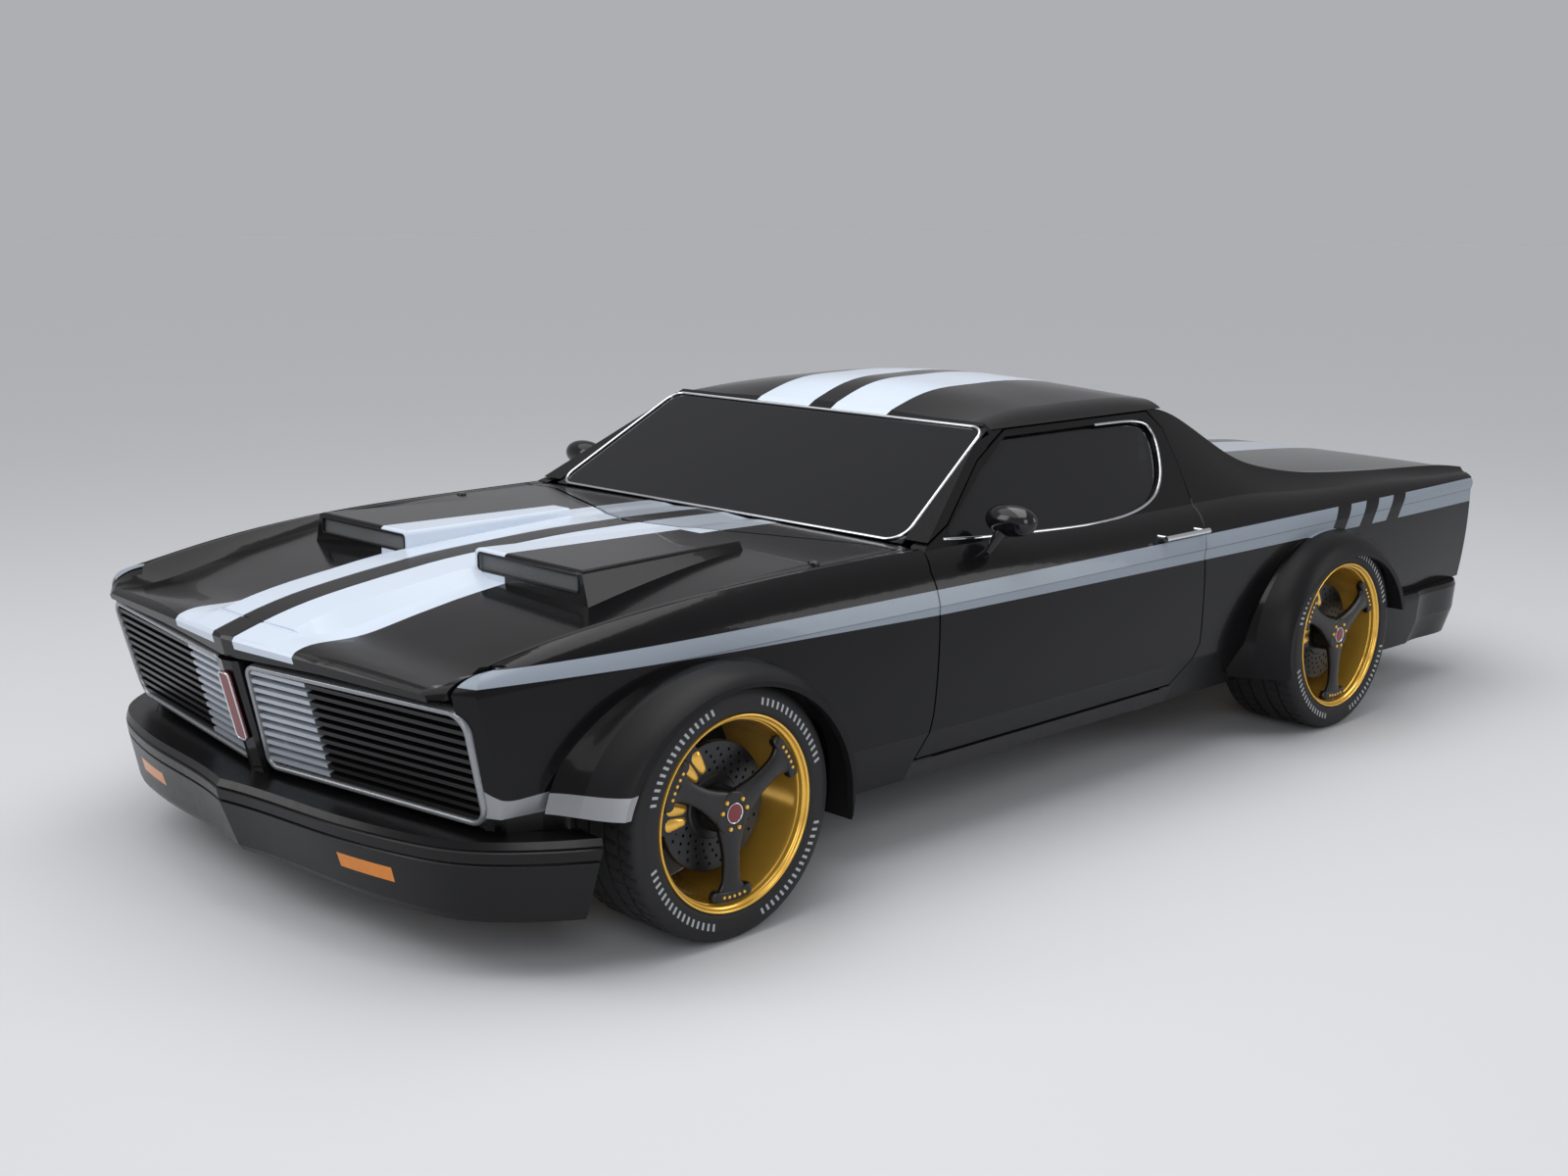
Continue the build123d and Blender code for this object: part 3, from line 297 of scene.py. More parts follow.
def simple(name, color, rough, metal=0.0, spread=0.15, scale=40, bumpy=0.0, **more):
    # Finish with a little variation of colour and roughness
    paint = Paint(name, metal=metal, **more)
    cloud = paint.noise(scale)
    paint.set(color=paint.mix(cloud, color, tuple(c * (1 - spread) for c in color)),
              rough=rough * (1 - spread) + cloud * (2 * rough * spread))
    if bumpy:
        paint.bump(paint.noise(scale * 12, 2), bumpy)
    return paint.material


hoodPaint = gloss("hoodPaint", 1.0, "hood")
roofPaint = gloss("roofPaint", 1.0, "roof")
# The cowl's stripes (0.55) and the deck's stripes (0.7) are darkened as painted shade; the hood and roof
# stripes keep their full colour
cowlPaint = gloss("cowlPaint", 0.55)
deckPaint = gloss("deckPaint", 0.7, "deck")
sidePaint = sideGloss()
plainPaint = gloss("plainPaint", 0)
bumperPaint = simple("bumperPaint", (0.0045, 0.0045, 0.005), 0.3, specular=0.3, spread=0.2)
glassDark = simple("glassDark", (0.006, 0.0065, 0.0075), 0.03, alpha=0.9, ior=1.5)
chrome = simple("chrome", look["chrome"], 0.1, 1.0)
satinGrey = simple("satinGrey", look["satin"], 0.28, 0.6)
gold = simple("gold", look["gold"], 0.17, 0.62, spread=0.1, coat=0.4, coatRough=0.05)
slatPaint = Paint("slatPaint", metal=0.3)
striped = abs(slatPaint.axes()[1]).inside(stripes["inner"], stripes["outer"], 0.002)
slatPaint.set(color=slatPaint.mix(striped, (0.006, 0.006, 0.007), (0.46, 0.50, 0.56)),
              rough=0.3 + slatPaint.noise(80) * 0.06)
satinBlack = simple("satinBlack", (0.008, 0.008, 0.009), 0.32, spread=0.3)
trimBlack = simple("trimBlack", (0.006, 0.006, 0.007), 0.12)
steelDark = simple("steelDark", (0.05, 0.05, 0.055), 0.4, 0.9)
steelPipe = simple("steelPipe", (0.5, 0.5, 0.52), 0.3, 1.0)
chassisPaint = simple("chassisPaint", (0.02, 0.02, 0.022), 0.55, bumpy=0.1)
rubber = simple("rubber", (0.012, 0.012, 0.013), 0.6, spread=0.25, bumpy=0.08)
leather = simple("leather", (0.018, 0.017, 0.017), 0.42, spread=0.3, bumpy=0.25)
amber = simple("amber", (0.75, 0.24, 0.02), 0.15)
enamelRed = simple("enamelRed", (0.20, 0.025, 0.03), 0.15)

# Sine waves draw the woven mesh, the radiator's fins and the lamps' ribs, in radians per metre
waves = {"weave": 900, "fins": 1400, "ribs": 420}
meshWire = Paint("meshWire", metal=0.3, specular=0.2)
x, y, z = meshWire.axes()
weave = (y * waves["weave"]).sine() * (z * waves["weave"]).sine()
meshWire.set(color=meshWire.mix(weave.above(0.35, 0.5), (0.002, 0.002, 0.002), (0.55, 0.57, 0.59)),
             rough=0.35 + meshWire.noise(90) * 0.1)
meshWire.bump(weave, 0.5, 0.002)
finned = Paint("finned", metal=0.4)
fins = (finned.axes()[2] * waves["fins"]).sine()
finned.set(color=finned.mix(fins.above(0.0, 0.6), (0.004, 0.004, 0.004), (0.05, 0.05, 0.052)),
           rough=0.5 + finned.noise(40) * 0.1)
finned.bump(fins, 0.4, 0.002)

lampCells = {"start": 0.25, "pitch": 0.17, "seam": 0.04}
ribbed = Paint("ribbed", coat=0.2, coatRough=0.03, specular=0.25)
y = ribbed.axes()[1]
cell = ((abs(y) - lampCells["start"]) / lampCells["pitch"]).frac()
ribbed.set(color=ribbed.mix(cell.inside(lampCells["seam"], 1 - lampCells["seam"], 0.02),
                            (0.02, 0.001, 0.001), (0.30, 0.002, 0.003)),
           rough=0.16 + ribbed.noise(60) * 0.05)
ribbed.bump((y * waves["ribs"]).sine(), 0.4, 0.003)
print("finishes ready")

finishOf = {"hood": hoodPaint, "roof": roofPaint, "cowl": cowlPaint, "deck_lid": deckPaint,
            "windscreen": glassDark, "rear_window": glassDark, "scoop_mesh": meshWire.material,
            "grille": slatPaint.material, "grille_surround": satinGrey, "nose_strip": trimBlack,
            "badge": enamelRed, "front_bumper": bumperPaint, "indicators": amber,
            "rear_bumper": bumperPaint, "tail_panel": plainPaint, "tail_lamps": ribbed.material,
            "load_bed": chassisPaint, "floor": chassisPaint, "front_suspension": chassisPaint,
            "rear_axle": chassisPaint, "engine": chassisPaint, "prop_shaft": steelDark,
            "exhaust": steelPipe, "seats": leather, "dashboard": leather, "steering_wheel": leather}
for side in ("left", "right"):
    finishOf.update({f"front_fender_{side}": sidePaint, f"quarter_{side}": sidePaint,
                     f"door_{side}": sidePaint, f"door_glass_{side}": glassDark,
                     f"door_mirror_{side}": trimBlack, f"door_handle_{side}": chrome,
                     f"knuckle_{side}": steelDark})
    for end in ("front", "rear"):
        finishOf.update({f"tyre_{end}_{side}": rubber, f"rim_{end}_{side}": gold,
                         f"wheel_star_{end}_{side}": satinBlack})
for name, material in finishOf.items():
    slots = nodes[name].data.materials
    slots.clear()
    slots.append(material)
print("nodes dressed")

sides = [("left", 1), ("right", -1)]


# Meshes from two-parameter grids
def grid(x, y, z, roundU=False, roundV=False):
    # Points of a surface and its quads; a round direction joins its last row to its first
    x, y, z = np.broadcast_arrays(x, y, z)
    rows, cols = x.shape
    u, v = np.meshgrid(np.arange(rows if roundU else rows - 1), np.arange(cols if roundV else cols - 1),
                       indexing="ij")
    nextU, nextV = (u + 1) % rows, (v + 1) % cols
    quads = np.stack([u * cols + v, nextU * cols + v, nextU * cols + nextV, u * cols + nextV], -1)
    return np.stack([x, y, z], -1).reshape(-1, 3), quads.reshape(-1, 4)


def softened(points, times, closed=True):
    # Corner cutting: every edge gives the points at its first and third quarter
    p = np.array(points, float)
    for _ in range(times):
        q = np.roll(p, -1, 0) if closed else p[1:]
        a = p if closed else p[:-1]
        cut = np.stack([0.75 * a + 0.25 * q, 0.25 * a + 0.75 * q], 1).reshape(-1, p.shape[1])
        p = cut if closed else np.vstack([p[:1], cut, p[-1:]])
    return p


def evenly(points, count, closed=True):
    # The same path with its points at even distances
    p = np.vstack([points, points[:1]]) if closed else points
    lengths = np.r_[0, np.cumsum(np.linalg.norm(np.diff(p, axis=0), axis=1))]
    t = np.linspace(0, lengths[-1], count, endpoint=not closed)
    return np.stack([np.interp(t, lengths, p[:, k]) for k in range(p.shape[1])], -1)


def onceRound(count):
    # Even angles round a circle
    return np.linspace(0, 2 * np.pi, count, endpoint=False)


def makePiece(name, surfaces, material, body, angle, replaces=()):
    # One mesh of all the surfaces, smooth except where faces meet at more than the angle
    points = np.vstack([p for p, _ in surfaces])
    starts = np.cumsum([0] + [len(p) for p, _ in surfaces[:-1]])
    quads = np.vstack([q + s for (_, q), s in zip(surfaces, starts)])
    mesh = bpy.data.meshes.new(name)
    mesh.from_pydata(points.tolist(), [], quads.tolist())
    work = bmesh.new()
    work.from_mesh(mesh)
    bmesh.ops.remove_doubles(work, verts=work.verts, dist=2e-6)
    bmesh.ops.recalc_face_normals(work, faces=work.faces)
    work.to_mesh(mesh)
    work.free()
    mesh.polygons.foreach_set("use_smooth", [True] * len(mesh.polygons))
    mesh.set_sharp_from_angle(angle=np.radians(angle))
    mesh.materials.append(material)
    piece = bpy.data.objects.new(name, mesh)
    bpy.context.scene.collection.objects.link(piece)
    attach(piece, body)
    if replaces:
        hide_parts(*replaces)
    return piece


# Wheels. Each is worked out about its own middle, facing outwards, and then set at its axle
axles = {"front": 1.570, "rear": -1.250, "outward": 0.910, "height": 0.326}


def placed(surfaces, end, side):
    # Forward, outward, up about the wheel's middle become the car's x, y, z
    sign = 1 if side == "left" else -1
    shift = np.array([axles[end], sign * axles["outward"], axles["height"]])
    return [(p * (1, sign, 1) + shift, q) for p, q in surfaces]


def lathe(profile, segments, closed=False):
    # Circle of every (outward, radius) point of the profile about the axle
    outward, radius = np.array(profile).T
    turn = onceRound(segments)[:, None]
    return grid(radius * np.cos(turn), outward + 0 * turn, radius * np.sin(turn), roundU=True, roundV=closed)


tyre = {"wall": [(0.1285, 0.2402), (0.1378, 0.2490), (0.1432, 0.2560), (0.1440, 0.2572), (0.1446, 0.2600),
                 (0.1450, 0.2720), (0.1450, 0.2860), (0.1444, 0.2975), (0.1432, 0.2990), (0.1418, 0.3050),
                 (0.1385, 0.3120), (0.1330, 0.3180), (0.1255, 0.3222), (0.1160, 0.3248)],
        "crown": 0.3259, "crownFall": 0.0012, "edge": 0.106, "crossPoints": (0.106, 0.098, 0.05, 0.0),
        "inside": [(-0.120, 0.2402), (0.0, 0.2402), (0.120, 0.2402)],
        "grooves": (0.078, 0.028, -0.028, -0.078), "grooveWidth": 0.010, "grooveDepth": 0.007,
        "groovePitch": 0.024, "grooveSlope": 0.001, "blocks": 54, "sipeDepth": 0.005, "steps": 324,
        "sipedFrom": 0.03, "treadFrom": 0.3235}


def tyreSurface():
    # Section: sidewall bulge and rounded shoulder, then the tread cut by ring grooves; slanting sipes
    # lower the tread wherever the turn, shifted by the distance across, falls in a narrow slot
    half = tyre["grooveWidth"] / 2
    across = [sign * a for a in tyre["crossPoints"] for sign in (1, -1)]
    for g in tyre["grooves"]:
        across += [g + half + tyre["grooveSlope"], g + half, g - half, g - half - tyre["grooveSlope"],
                   g - tyre["groovePitch"]]
    across = np.array(sorted({round(a, 5) for a in across}, reverse=True))
    sunk = np.min(np.abs(across[:, None] - np.array(tyre["grooves"])), axis=1) < half + 1e-6
    crown = tyre["crown"] - tyre["crownFall"] * (across / tyre["edge"]) ** 2 - tyre["grooveDepth"] * sunk
    wall = np.array(tyre["wall"])
    outward, radius = np.vstack([wall, np.stack([across, crown], -1), wall[::-1] * (-1, 1), tyre["inside"]]).T
    turn = np.arange(tyre["steps"])[:, None]
    shifted = turn + np.round(np.abs(outward) / tyre["sipedFrom"]).astype(int)
    slot = shifted % (tyre["steps"] // tyre["blocks"]) == 0
    onTread = (radius > tyre["treadFrom"]) & (np.abs(outward) > tyre["sipedFrom"])
    radius = radius - tyre["sipeDepth"] * (slot & onTread)
    angle = turn * 2 * np.pi / tyre["steps"]
    return grid(radius * np.cos(angle), outward + 0 * angle, radius * np.sin(angle), roundU=True, roundV=True)


def rimSurfaces():
    # Barrel with a rolled lip, a step behind it and a drop in the middle
    barrel = [(0.1427, 0.2440), (0.1427, 0.2472), (0.1405, 0.2485), (0.1352, 0.2485), (0.1347, 0.2400),
              (0.1200, 0.2396), (-0.1200, 0.2396), (-0.1347, 0.2400), (-0.1352, 0.2485), (-0.1405, 0.2485),
              (-0.1427, 0.2470), (-0.1427, 0.2380), (-0.1250, 0.2330), (0.0850, 0.2300), (0.1127, 0.2287),
              (0.1180, 0.2292), (0.1200, 0.2325), (0.1290, 0.2330), (0.1320, 0.2345), (0.1345, 0.2400),
              (0.1400, 0.2412)]
    return [lathe(softened(barrel, 1), 192, closed=True)]


star = {"arms": 3, "lean": 20, "boltRing": 0.0405, "boltFace": 0.1312, "bolt": (0.0055, 0.0055, 12),
        "studs": 5, "studRing": 0.2120, "studFace": 0.1300, "stud": (0.0042, 0.0035, 14), "studStep": 0.0168}
armTurns = [-np.pi / 2 + 2 * np.pi * k / star["arms"] for k in range(star["arms"])]


def oval(power):
    # Half axes' share round a squared circle
    v = onceRound(28)
    c, s = np.cos(v), np.sin(v)
    return np.sign(c) * np.abs(c) ** (2 / power), np.sign(s) * np.abs(s) ** (2 / power)


# Along an arm: distance from the axle, half width, half depth and outward place of its middle
arm = {"reach": [0.030, 0.030, 0.050, 0.075, 0.105, 0.135, 0.160, 0.178, 0.192, 0.200, 0.200],
       "half": [0, 0.045, 0.040, 0.033, 0.0275, 0.0262, 0.0270, 0.0310, 0.0400, 0.0500, 0],
       "depth": [0, 0.014, 0.0138, 0.0130, 0.0118, 0.0108, 0.0104, 0.0106, 0.0112, 0.0118, 0],
       "middle": [0.1167, 0.1167, 0.1168, 0.1172, 0.1178, 0.1180, 0.1178, 0.1174, 0.1168, 0.1165, 0.1165],
       "ridge": 0.0022, "ridgeHalf": 0.02}


def armSurface(turn):
    # Squared oval section carried out along the arm: its width narrows to a waist and spreads at the foot,
    # and a cosine ridge runs along its face
    reach, half, depth, middle = [np.array(arm[k])[:, None] for k in ("reach", "half", "depth", "middle")]
    a, b = oval(3.2)
    wide, deep = half * a, depth * b
    ridge = arm["ridge"] * np.cos(np.clip(wide / arm["ridgeHalf"], -1, 1) * np.pi / 2) * (b > 0) * (half > 0)
    x = reach * np.cos(turn) - wide * np.sin(turn)
    z = reach * np.sin(turn) + wide * np.cos(turn)
    return grid(x, middle + deep + ridge, z, roundV=True)


# Radius and outward: the section's middle and half its size
foot = {"spread": np.radians(18.5), "radius": (0.2128, 0.0148), "outward": (0.1165, 0.0137), "ends": 0.55}


def footSurface(turn):
    # Squared oval carried along an arc under the barrel, its ends drawn in
    swing = np.linspace(-1, 1, 29)[:, None]
    size = np.where(np.abs(swing) >= 1, 0, np.clip(1 - np.abs(swing) ** 14, foot["ends"], 1))
    a, b = oval(5)
    radius = foot["radius"][0] + foot["radius"][1] * a * size
    outward = foot["outward"][0] + foot["outward"][1] * b * size
    angle = turn + swing * foot["spread"]
    return grid(radius * np.cos(angle), outward, radius * np.sin(angle), roundV=True)


def starSurfaces():
    # Hub, arms and feet
    hub = [(0.0560, 0.0), (0.0560, 0.060), (0.100, 0.058), (0.1265, 0.0560), (0.1300, 0.0530),
           (0.1312, 0.046), (0.1316, 0.030), (0.1316, 0.0)]
    made = [lathe(softened(hub, 1, closed=False), 72)]
    for turn in armTurns:
        made += [armSurface(turn), footSurface(turn)]
    return made


def dome(radius, height, sides, ringRadius, turn, face):
    # Flat-topped cap on a ring about the axle: a quarter wave raises it inside its rim
    share = np.array([1.0, 1.0, 0.92, 0.7, 0.4, 0.0])
    rise = np.array([-0.2, 0.55, 0.85, 1.0, 1.0, 1.0]) * height
    v = onceRound(sides)[:, None]
    return grid(ringRadius * np.cos(turn) + radius * share * np.cos(v), face + rise + 0 * v,
                ringRadius * np.sin(turn) + radius * share * np.sin(v), roundU=True)


def studSurfaces():
    # A row of studs along each foot, and two bolts beside each arm's root
    row = (np.arange(star["studs"]) - (star["studs"] - 1) / 2) * star["studStep"] / star["studRing"]
    pair = np.radians([-star["lean"], star["lean"]])
    return [dome(*star[kind], star[kind + "Ring"], turn + away, star[kind + "Face"])
            for turn in armTurns for kind, places in (("stud", row), ("bolt", pair)) for away in places]


def capSurfaces():
    # Bright ring and the cap inside it
    edge = [(0.1310, 0.0262), (0.1345, 0.0262), (0.1352, 0.0250), (0.1345, 0.0235), (0.1338, 0.0230),
            (0.1310, 0.0230)]
    face = [(0.1312, 0.0236), (0.1338, 0.0236), (0.1346, 0.016), (0.1349, 0.008), (0.1350, 0.0)]
    return [lathe(softened(edge, 1), 64, closed=True)], [lathe(face, 48)]


def discSurfaces():
    # Two plates with a slot between them, on a hub
    plate = [(0.034, 0.0), (0.034, 0.163), (0.0355, 0.165), (0.0425, 0.165), (0.0435, 0.160), (0.0465, 0.160),
             (0.0475, 0.165), (0.0545, 0.165), (0.056, 0.163), (0.056, 0.082), (0.060, 0.078), (0.060, 0.0)]
    return [lathe(plate, 120)]


# Angles above straight ahead; radius and outward as for the feet
calipers = {"angles": (54, 5), "radius": (0.150, 0.040), "outward": (0.049, 0.042), "spread": 0.250,
            "waist": 0.80, "ends": 0.25}


def caliperSurface(angle):
    # Squared oval carried along an arc over the disc's rim, with a neck between its two lobes
    swing = np.linspace(-1, 1, 41)[:, None]
    lobes = calipers["waist"] + (1 - calipers["waist"]) * np.abs(np.sin(np.pi * swing)) ** 0.6
    size = np.where(np.abs(swing) >= 1, 0, lobes * (1 - calipers["ends"] * np.abs(swing) ** 12))
    a, b = oval(4.5)
    radius = calipers["radius"][0] + calipers["radius"][1] * a * size
    outward = calipers["outward"][0] + calipers["outward"][1] * b * size
    turn = np.radians(angle) + swing * calipers["spread"]
    return grid(radius * np.cos(turn), outward, radius * np.sin(turn), roundV=True)


# Tyre walls and discs are marked round their own axles
def aboutAxle(paint):
    # Outward place, distance from the nearer axle, and share of a turn round it
    x, y, z = paint.axes()
    middle = (axles["front"] + axles["rear"]) / 2
    ahead = x - (axles["rear"] + x.above(middle) * (axles["front"] - axles["rear"]))
    up = z - axles["height"]
    return abs(y), (ahead * ahead + up * up).math("SQRT"), up.math("ARCTAN2", ahead) / (2 * np.pi)


# Groups of slanting ticks stand for raised lettering; whole numbers keep the turns positive
marks = {"groups": 4, "groupHalf": 0.33, "ticks": 96, "slant": 9, "upright": 0.28, "tick": (0.30, 0.68),
         "from": 0.2725, "to": 0.2905, "face": 1.03}
tyreInk = Paint("tyreWall", specular=0.35)
outward, reach, turned = aboutAxle(tyreInk)
group = abs((turned * marks["groups"] + 8.0).frac() - 0.5).below(marks["groupHalf"], 0.002)
slanted = turned * marks["ticks"] + (reach - marks["upright"]) * marks["slant"] + 144.0
tick = slanted.frac().inside(*marks["tick"], 0.03)
mark = group * tick * reach.inside(marks["from"], marks["to"], 0.0008) * outward.above(marks["face"])
dust = tyreInk.noise(35, 4)
tyreInk.set(color=tyreInk.mix(mark, tyreInk.mix(dust, (0.011, 0.011, 0.012), (0.017, 0.017, 0.018)),
                              (0.40, 0.42, 0.44)), rough=0.5 + dust * 0.2)
tyreInk.bump(mark * 0.6 + tyreInk.noise(600, 2) * 0.3, 0.25, 0.0012)

# Rings of holes, each ring turned on a little from the last
drilling = {"first": 0.088, "pitch": 0.0165, "around": 24, "twist": 0.37, "radius": 0.0042,
            "lanes": (0.09, 0.155), "swirl": 2600}
drilled = Paint("drilledDisc", metal=0.85, specular=0.4)
outward, reach, turned = aboutAxle(drilled)
lane = (reach - drilling["first"]) / drilling["pitch"]
cell = (turned * drilling["around"] + lane.math("FLOOR") * drilling["twist"] + 48.0).frac() - 0.5
along = cell * reach * (2 * np.pi / drilling["around"])
down = (lane.frac() - 0.5) * drilling["pitch"]
hole = ((along * along + down * down).math("SQRT").below(drilling["radius"], 0.0005)
        * reach.inside(*drilling["lanes"]))
swirl = (reach * drilling["swirl"]).sine() * 0.5 + 0.5
drilled.set(color=drilled.mix(hole, drilled.mix(swirl, (0.045, 0.047, 0.05), (0.06, 0.062, 0.066)),
                              (0.002, 0.002, 0.002)), rough=0.34 + hole * 0.5)
drilled.bump(1 - hole, 0.6, 0.002)

capEdge, capFace = capSurfaces()
wheelPieces = [  # name, surfaces, material, angle, slot, the node it replaces
    ("roadTyre", [tyreSurface()], tyreInk.material, 40, "tyre_rubber", "tyre"),
    ("goldRim", rimSurfaces(), gold, 30, "gold", "rim"),
    ("armStar", starSurfaces(), satinBlack, 40, "black_metal", "wheel_star"),
    ("studs", studSurfaces(), gold, 40, "gold", None),
    ("capRing", capEdge, chrome, 40, "satin_chrome", None),
    ("cap", capFace, enamelRed, 40, "badge_red", None),
    ("brakeDisc", discSurfaces(), drilled.material, 30, "black_metal", None)]
for end in ("front", "rear"):
    for side in ("left", "right"):
        tag = f"{end}_{side}"
        for name, surfaces, material, angle, slot, node in wheelPieces:
            makePiece(f"{name}_{tag}", placed(surfaces, end, side), material, f"wheel_{tag}", angle,
                      (f"{node}_{tag}",) if node else ())
        holder = f"knuckle_{side}_body" if end == "front" else "car_body"
        makePiece(f"calipers_{tag}", placed([caliperSurface(a) for a in calipers["angles"]], end, side),
                  gold, holder, 50)
print("wheels ready")


# Bright trims
def filleted(points, radii, steps):
    # Closed path whose corners are arcs of circles that touch both runs
    p = np.array(points, float)
    radii = np.broadcast_to(np.array(radii, float), len(p))
    made = []
    for k in range(len(p)):
        before, here, after = p[k - 1], p[k], p[(k + 1) % len(p)]
        a, b = before - here, after - here
        lengthA, lengthB = np.linalg.norm(a), np.linalg.norm(b)
        a, b = a / lengthA, b / lengthB
        half = np.arccos(np.clip(a @ b, -1, 1)) / 2
        cut = min(radii[k] / np.tan(half), 0.48 * lengthA, 0.48 * lengthB)
        r = cut * np.tan(half)
        middle = here + (a + b) / np.linalg.norm(a + b) * r / np.sin(half)
        start, end = here + a * cut - middle, here + b * cut - middle
        sweep = np.arccos(np.clip(start @ end / (r * r), -1, 1))
        t = np.linspace(0, 1, steps)[:, None]
        made.append(middle + (start * np.sin((1 - t) * sweep) + end * np.sin(t * sweep)) / np.sin(sweep))
    return np.vstack(made)


def carried(path, profile, lift, closed=True):
    # Profile (sideways, up) carried along a path; up is the given direction, sideways is square to both
    path = np.array(path, float)
    along = np.roll(path, -1, 0) - np.roll(path, 1, 0) if closed else np.gradient(path, axis=0)
    along /= np.linalg.norm(along, axis=1)[:, None]
    up = np.broadcast_to(np.array(lift, float), path.shape)
    sideways = np.cross(along, up)
    sideways /= np.linalg.norm(sideways, axis=1)[:, None]
    a, b = np.array(profile, float).T
    p = path[:, None] + sideways[:, None] * a[None, :, None] + up[:, None] * b[None, :, None]
    if not closed:
        middle = p.mean(1, keepdims=True) + 0 * p
        p = np.concatenate([middle[:1], p, middle[-1:]])
    return grid(p[..., 0], p[..., 1], p[..., 2], roundU=closed, roundV=True)


def beadProfile(half, rise):
    # Upper half of an ellipse on a foot 2 mm deep
    v = np.linspace(0, np.pi, 12)
    return [(half * np.cos(t), rise * np.sin(t)) for t in v] + [(-half, -0.002), (half, -0.002)]


grille = {"start": (2.335, 0, 0.635), "across": (-0.131, 1, 0), "out": (1, 0.131, -0.25), "half": 0.0075,
          "outline": [(0.066, -0.266), (0.846, -0.260), (0.853, 0.012), (0.077, 0.002)],
          "corners": [0.0295, 0.0535, 0.0475, 0.0295], "depth": 0.036, "edge": 0.004, "gap": 0.0003,
          "face": 0.0004}


def grilleFrame(sign):
    # Round-edged bar carried along the rim of one opening, in the grille's plane
    across, out = np.array(grille["across"]), np.array(grille["out"])
    across, out = across / np.linalg.norm(across), out / np.linalg.norm(out)
    up = np.cross(out, across)
    middle = np.mean(grille["outline"], 0)
    rim = [np.array(c) + np.sign(np.array(c) - middle) * grille["half"] for c in grille["outline"]]
    path = filleted([np.array(grille["start"]) + across * u + up * v for u, v in rim], grille["corners"], 12)
    h, deep, edge, face = grille["half"] - grille["gap"], grille["depth"], grille["edge"], grille["face"]
    bar = [(-h, -deep), (-h, -edge), (-h * 0.6, -face), (h * 0.6, -face), (h, -edge), (h, -deep)]
    points, quads = carried(path, softened(bar, 1), out)
    return points * (1, sign, 1), quads


makePiece("grilleFrames", [grilleFrame(1), grilleFrame(-1)], satinGrey, "car_body", 40,
          ("grille_surround",))

screen = {"foot": (0.700, 0.846), "head": (0.224, 1.136), "footHalf": 0.785, "headHalf": 0.697,
          "inset": (0.014, 0.018, 0.011), "corner": 0.055, "bead": 0.0048, "rise": 0.0042}


def screenTrim():
    # Bead round the glass, in the plane that leans from the foot to the head
    foot, head = np.array(screen["foot"]), np.array(screen["head"])
    length = np.linalg.norm(head - foot)
    up = (head - foot) / length
    atFoot, atHead, aside = screen["inset"]
    heights = np.array([atFoot, length - atHead])
    halves = screen["footHalf"] + (screen["headHalf"] - screen["footHalf"]) * heights / length - aside
    corners = []
    for k, sign in ((0, -1), (0, 1), (1, 1), (1, -1)):
        x, z = foot + up * heights[k]
        corners.append((x, sign * halves[k], z))
    return carried(filleted(corners, screen["corner"], 14), beadProfile(screen["bead"], screen["rise"]),
                   (up[1], 0, -up[0]))


makePiece("screenTrim", [screenTrim()], chrome, "car_body", 50)

# Below and behind the side glass: forward and height, with the slope of the cabin's side
sideGlass = {"outline": [(0.612, 0.862), (0.440, 0.848), (0.200, 0.838), (0.0, 0.830), (-0.220, 0.833),
                         (-0.385, 0.862), (-0.478, 0.915), (-0.535, 0.990), (-0.558, 1.050),
                         (-0.533, 1.092), (-0.283, 1.094)],
             "foot": (0.9006, 0.804), "head": (0.679, 1.120), "bead": 0.0042, "rise": 0.0032}


def sideTrim(sign):
    # Bead carried along the softened outline, its points at even distances on the sloping side
    x, z = evenly(softened(sideGlass["outline"], 3, closed=False), 90, closed=False).T
    (y0, z0), (y1, z1) = sideGlass["foot"], sideGlass["head"]
    path = np.stack([x, sign * (y0 + (y1 - y0) / (z1 - z0) * (z - z0)), z], -1)
    normal = np.array([0, sign * (z1 - z0), -(y1 - y0)]) / np.hypot(z1 - z0, y1 - y0)
    return carried(path, beadProfile(sideGlass["bead"], sideGlass["rise"]), normal, closed=False)


for side, sign in sides:
    makePiece(f"windowTrim_{side}", [sideTrim(sign)], chrome, f"door_{side}_body", 50)

badgeRim = {"middle": (2.3472, 0, 0.635), "down": 0.105, "half": (0.024, 0.093), "corner": 0.012,
            "lean": 0.25, "face": 0.0061, "bead": 0.0026, "rise": 0.002}


def badgeSurface():
    # Bead round the badge, on its leaning face
    out = np.array([1, 0, -badgeRim["lean"]]) / np.hypot(1, badgeRim["lean"])
    across = np.array([0, 1, 0])
    up = np.cross(out, across)
    middle = np.array(badgeRim["middle"]) - up * badgeRim["down"] + out * badgeRim["face"]
    w, h = badgeRim["half"]
    rim = [middle + across * u * w + up * v * h for u, v in ((-1, -1), (1, -1), (1, 1), (-1, 1))]
    return carried(filleted(rim, badgeRim["corner"], 8), beadProfile(badgeRim["bead"], badgeRim["rise"]), out)


makePiece("badgeRim", [badgeSurface()], chrome, "car_body", 50)

lampRim = {"x": -2.3362, "y": (0.254, 0.756), "z": (0.524, 0.646), "corner": 0.014, "bead": 0.0055,
           "rise": 0.004}


def roundedRim(part, x, sign):
    # Rounded rectangle square to x
    (y0, y1), (z0, z1) = part["y"], part["z"]
    corners = [(x, sign * y, z) for y, z in ((y0, z0), (y1, z0), (y1, z1), (y0, z1))]
    return filleted(corners, part["corner"], 8)


def lampFrame(sign):
    # Bead round one tail lamp
    rim = roundedRim(lampRim, lampRim["x"], sign)
    return carried(rim, beadProfile(lampRim["bead"], lampRim["rise"]), (-1, 0, 0))


makePiece("lampFrames", [lampFrame(1), lampFrame(-1)], chrome, "car_body", 50)

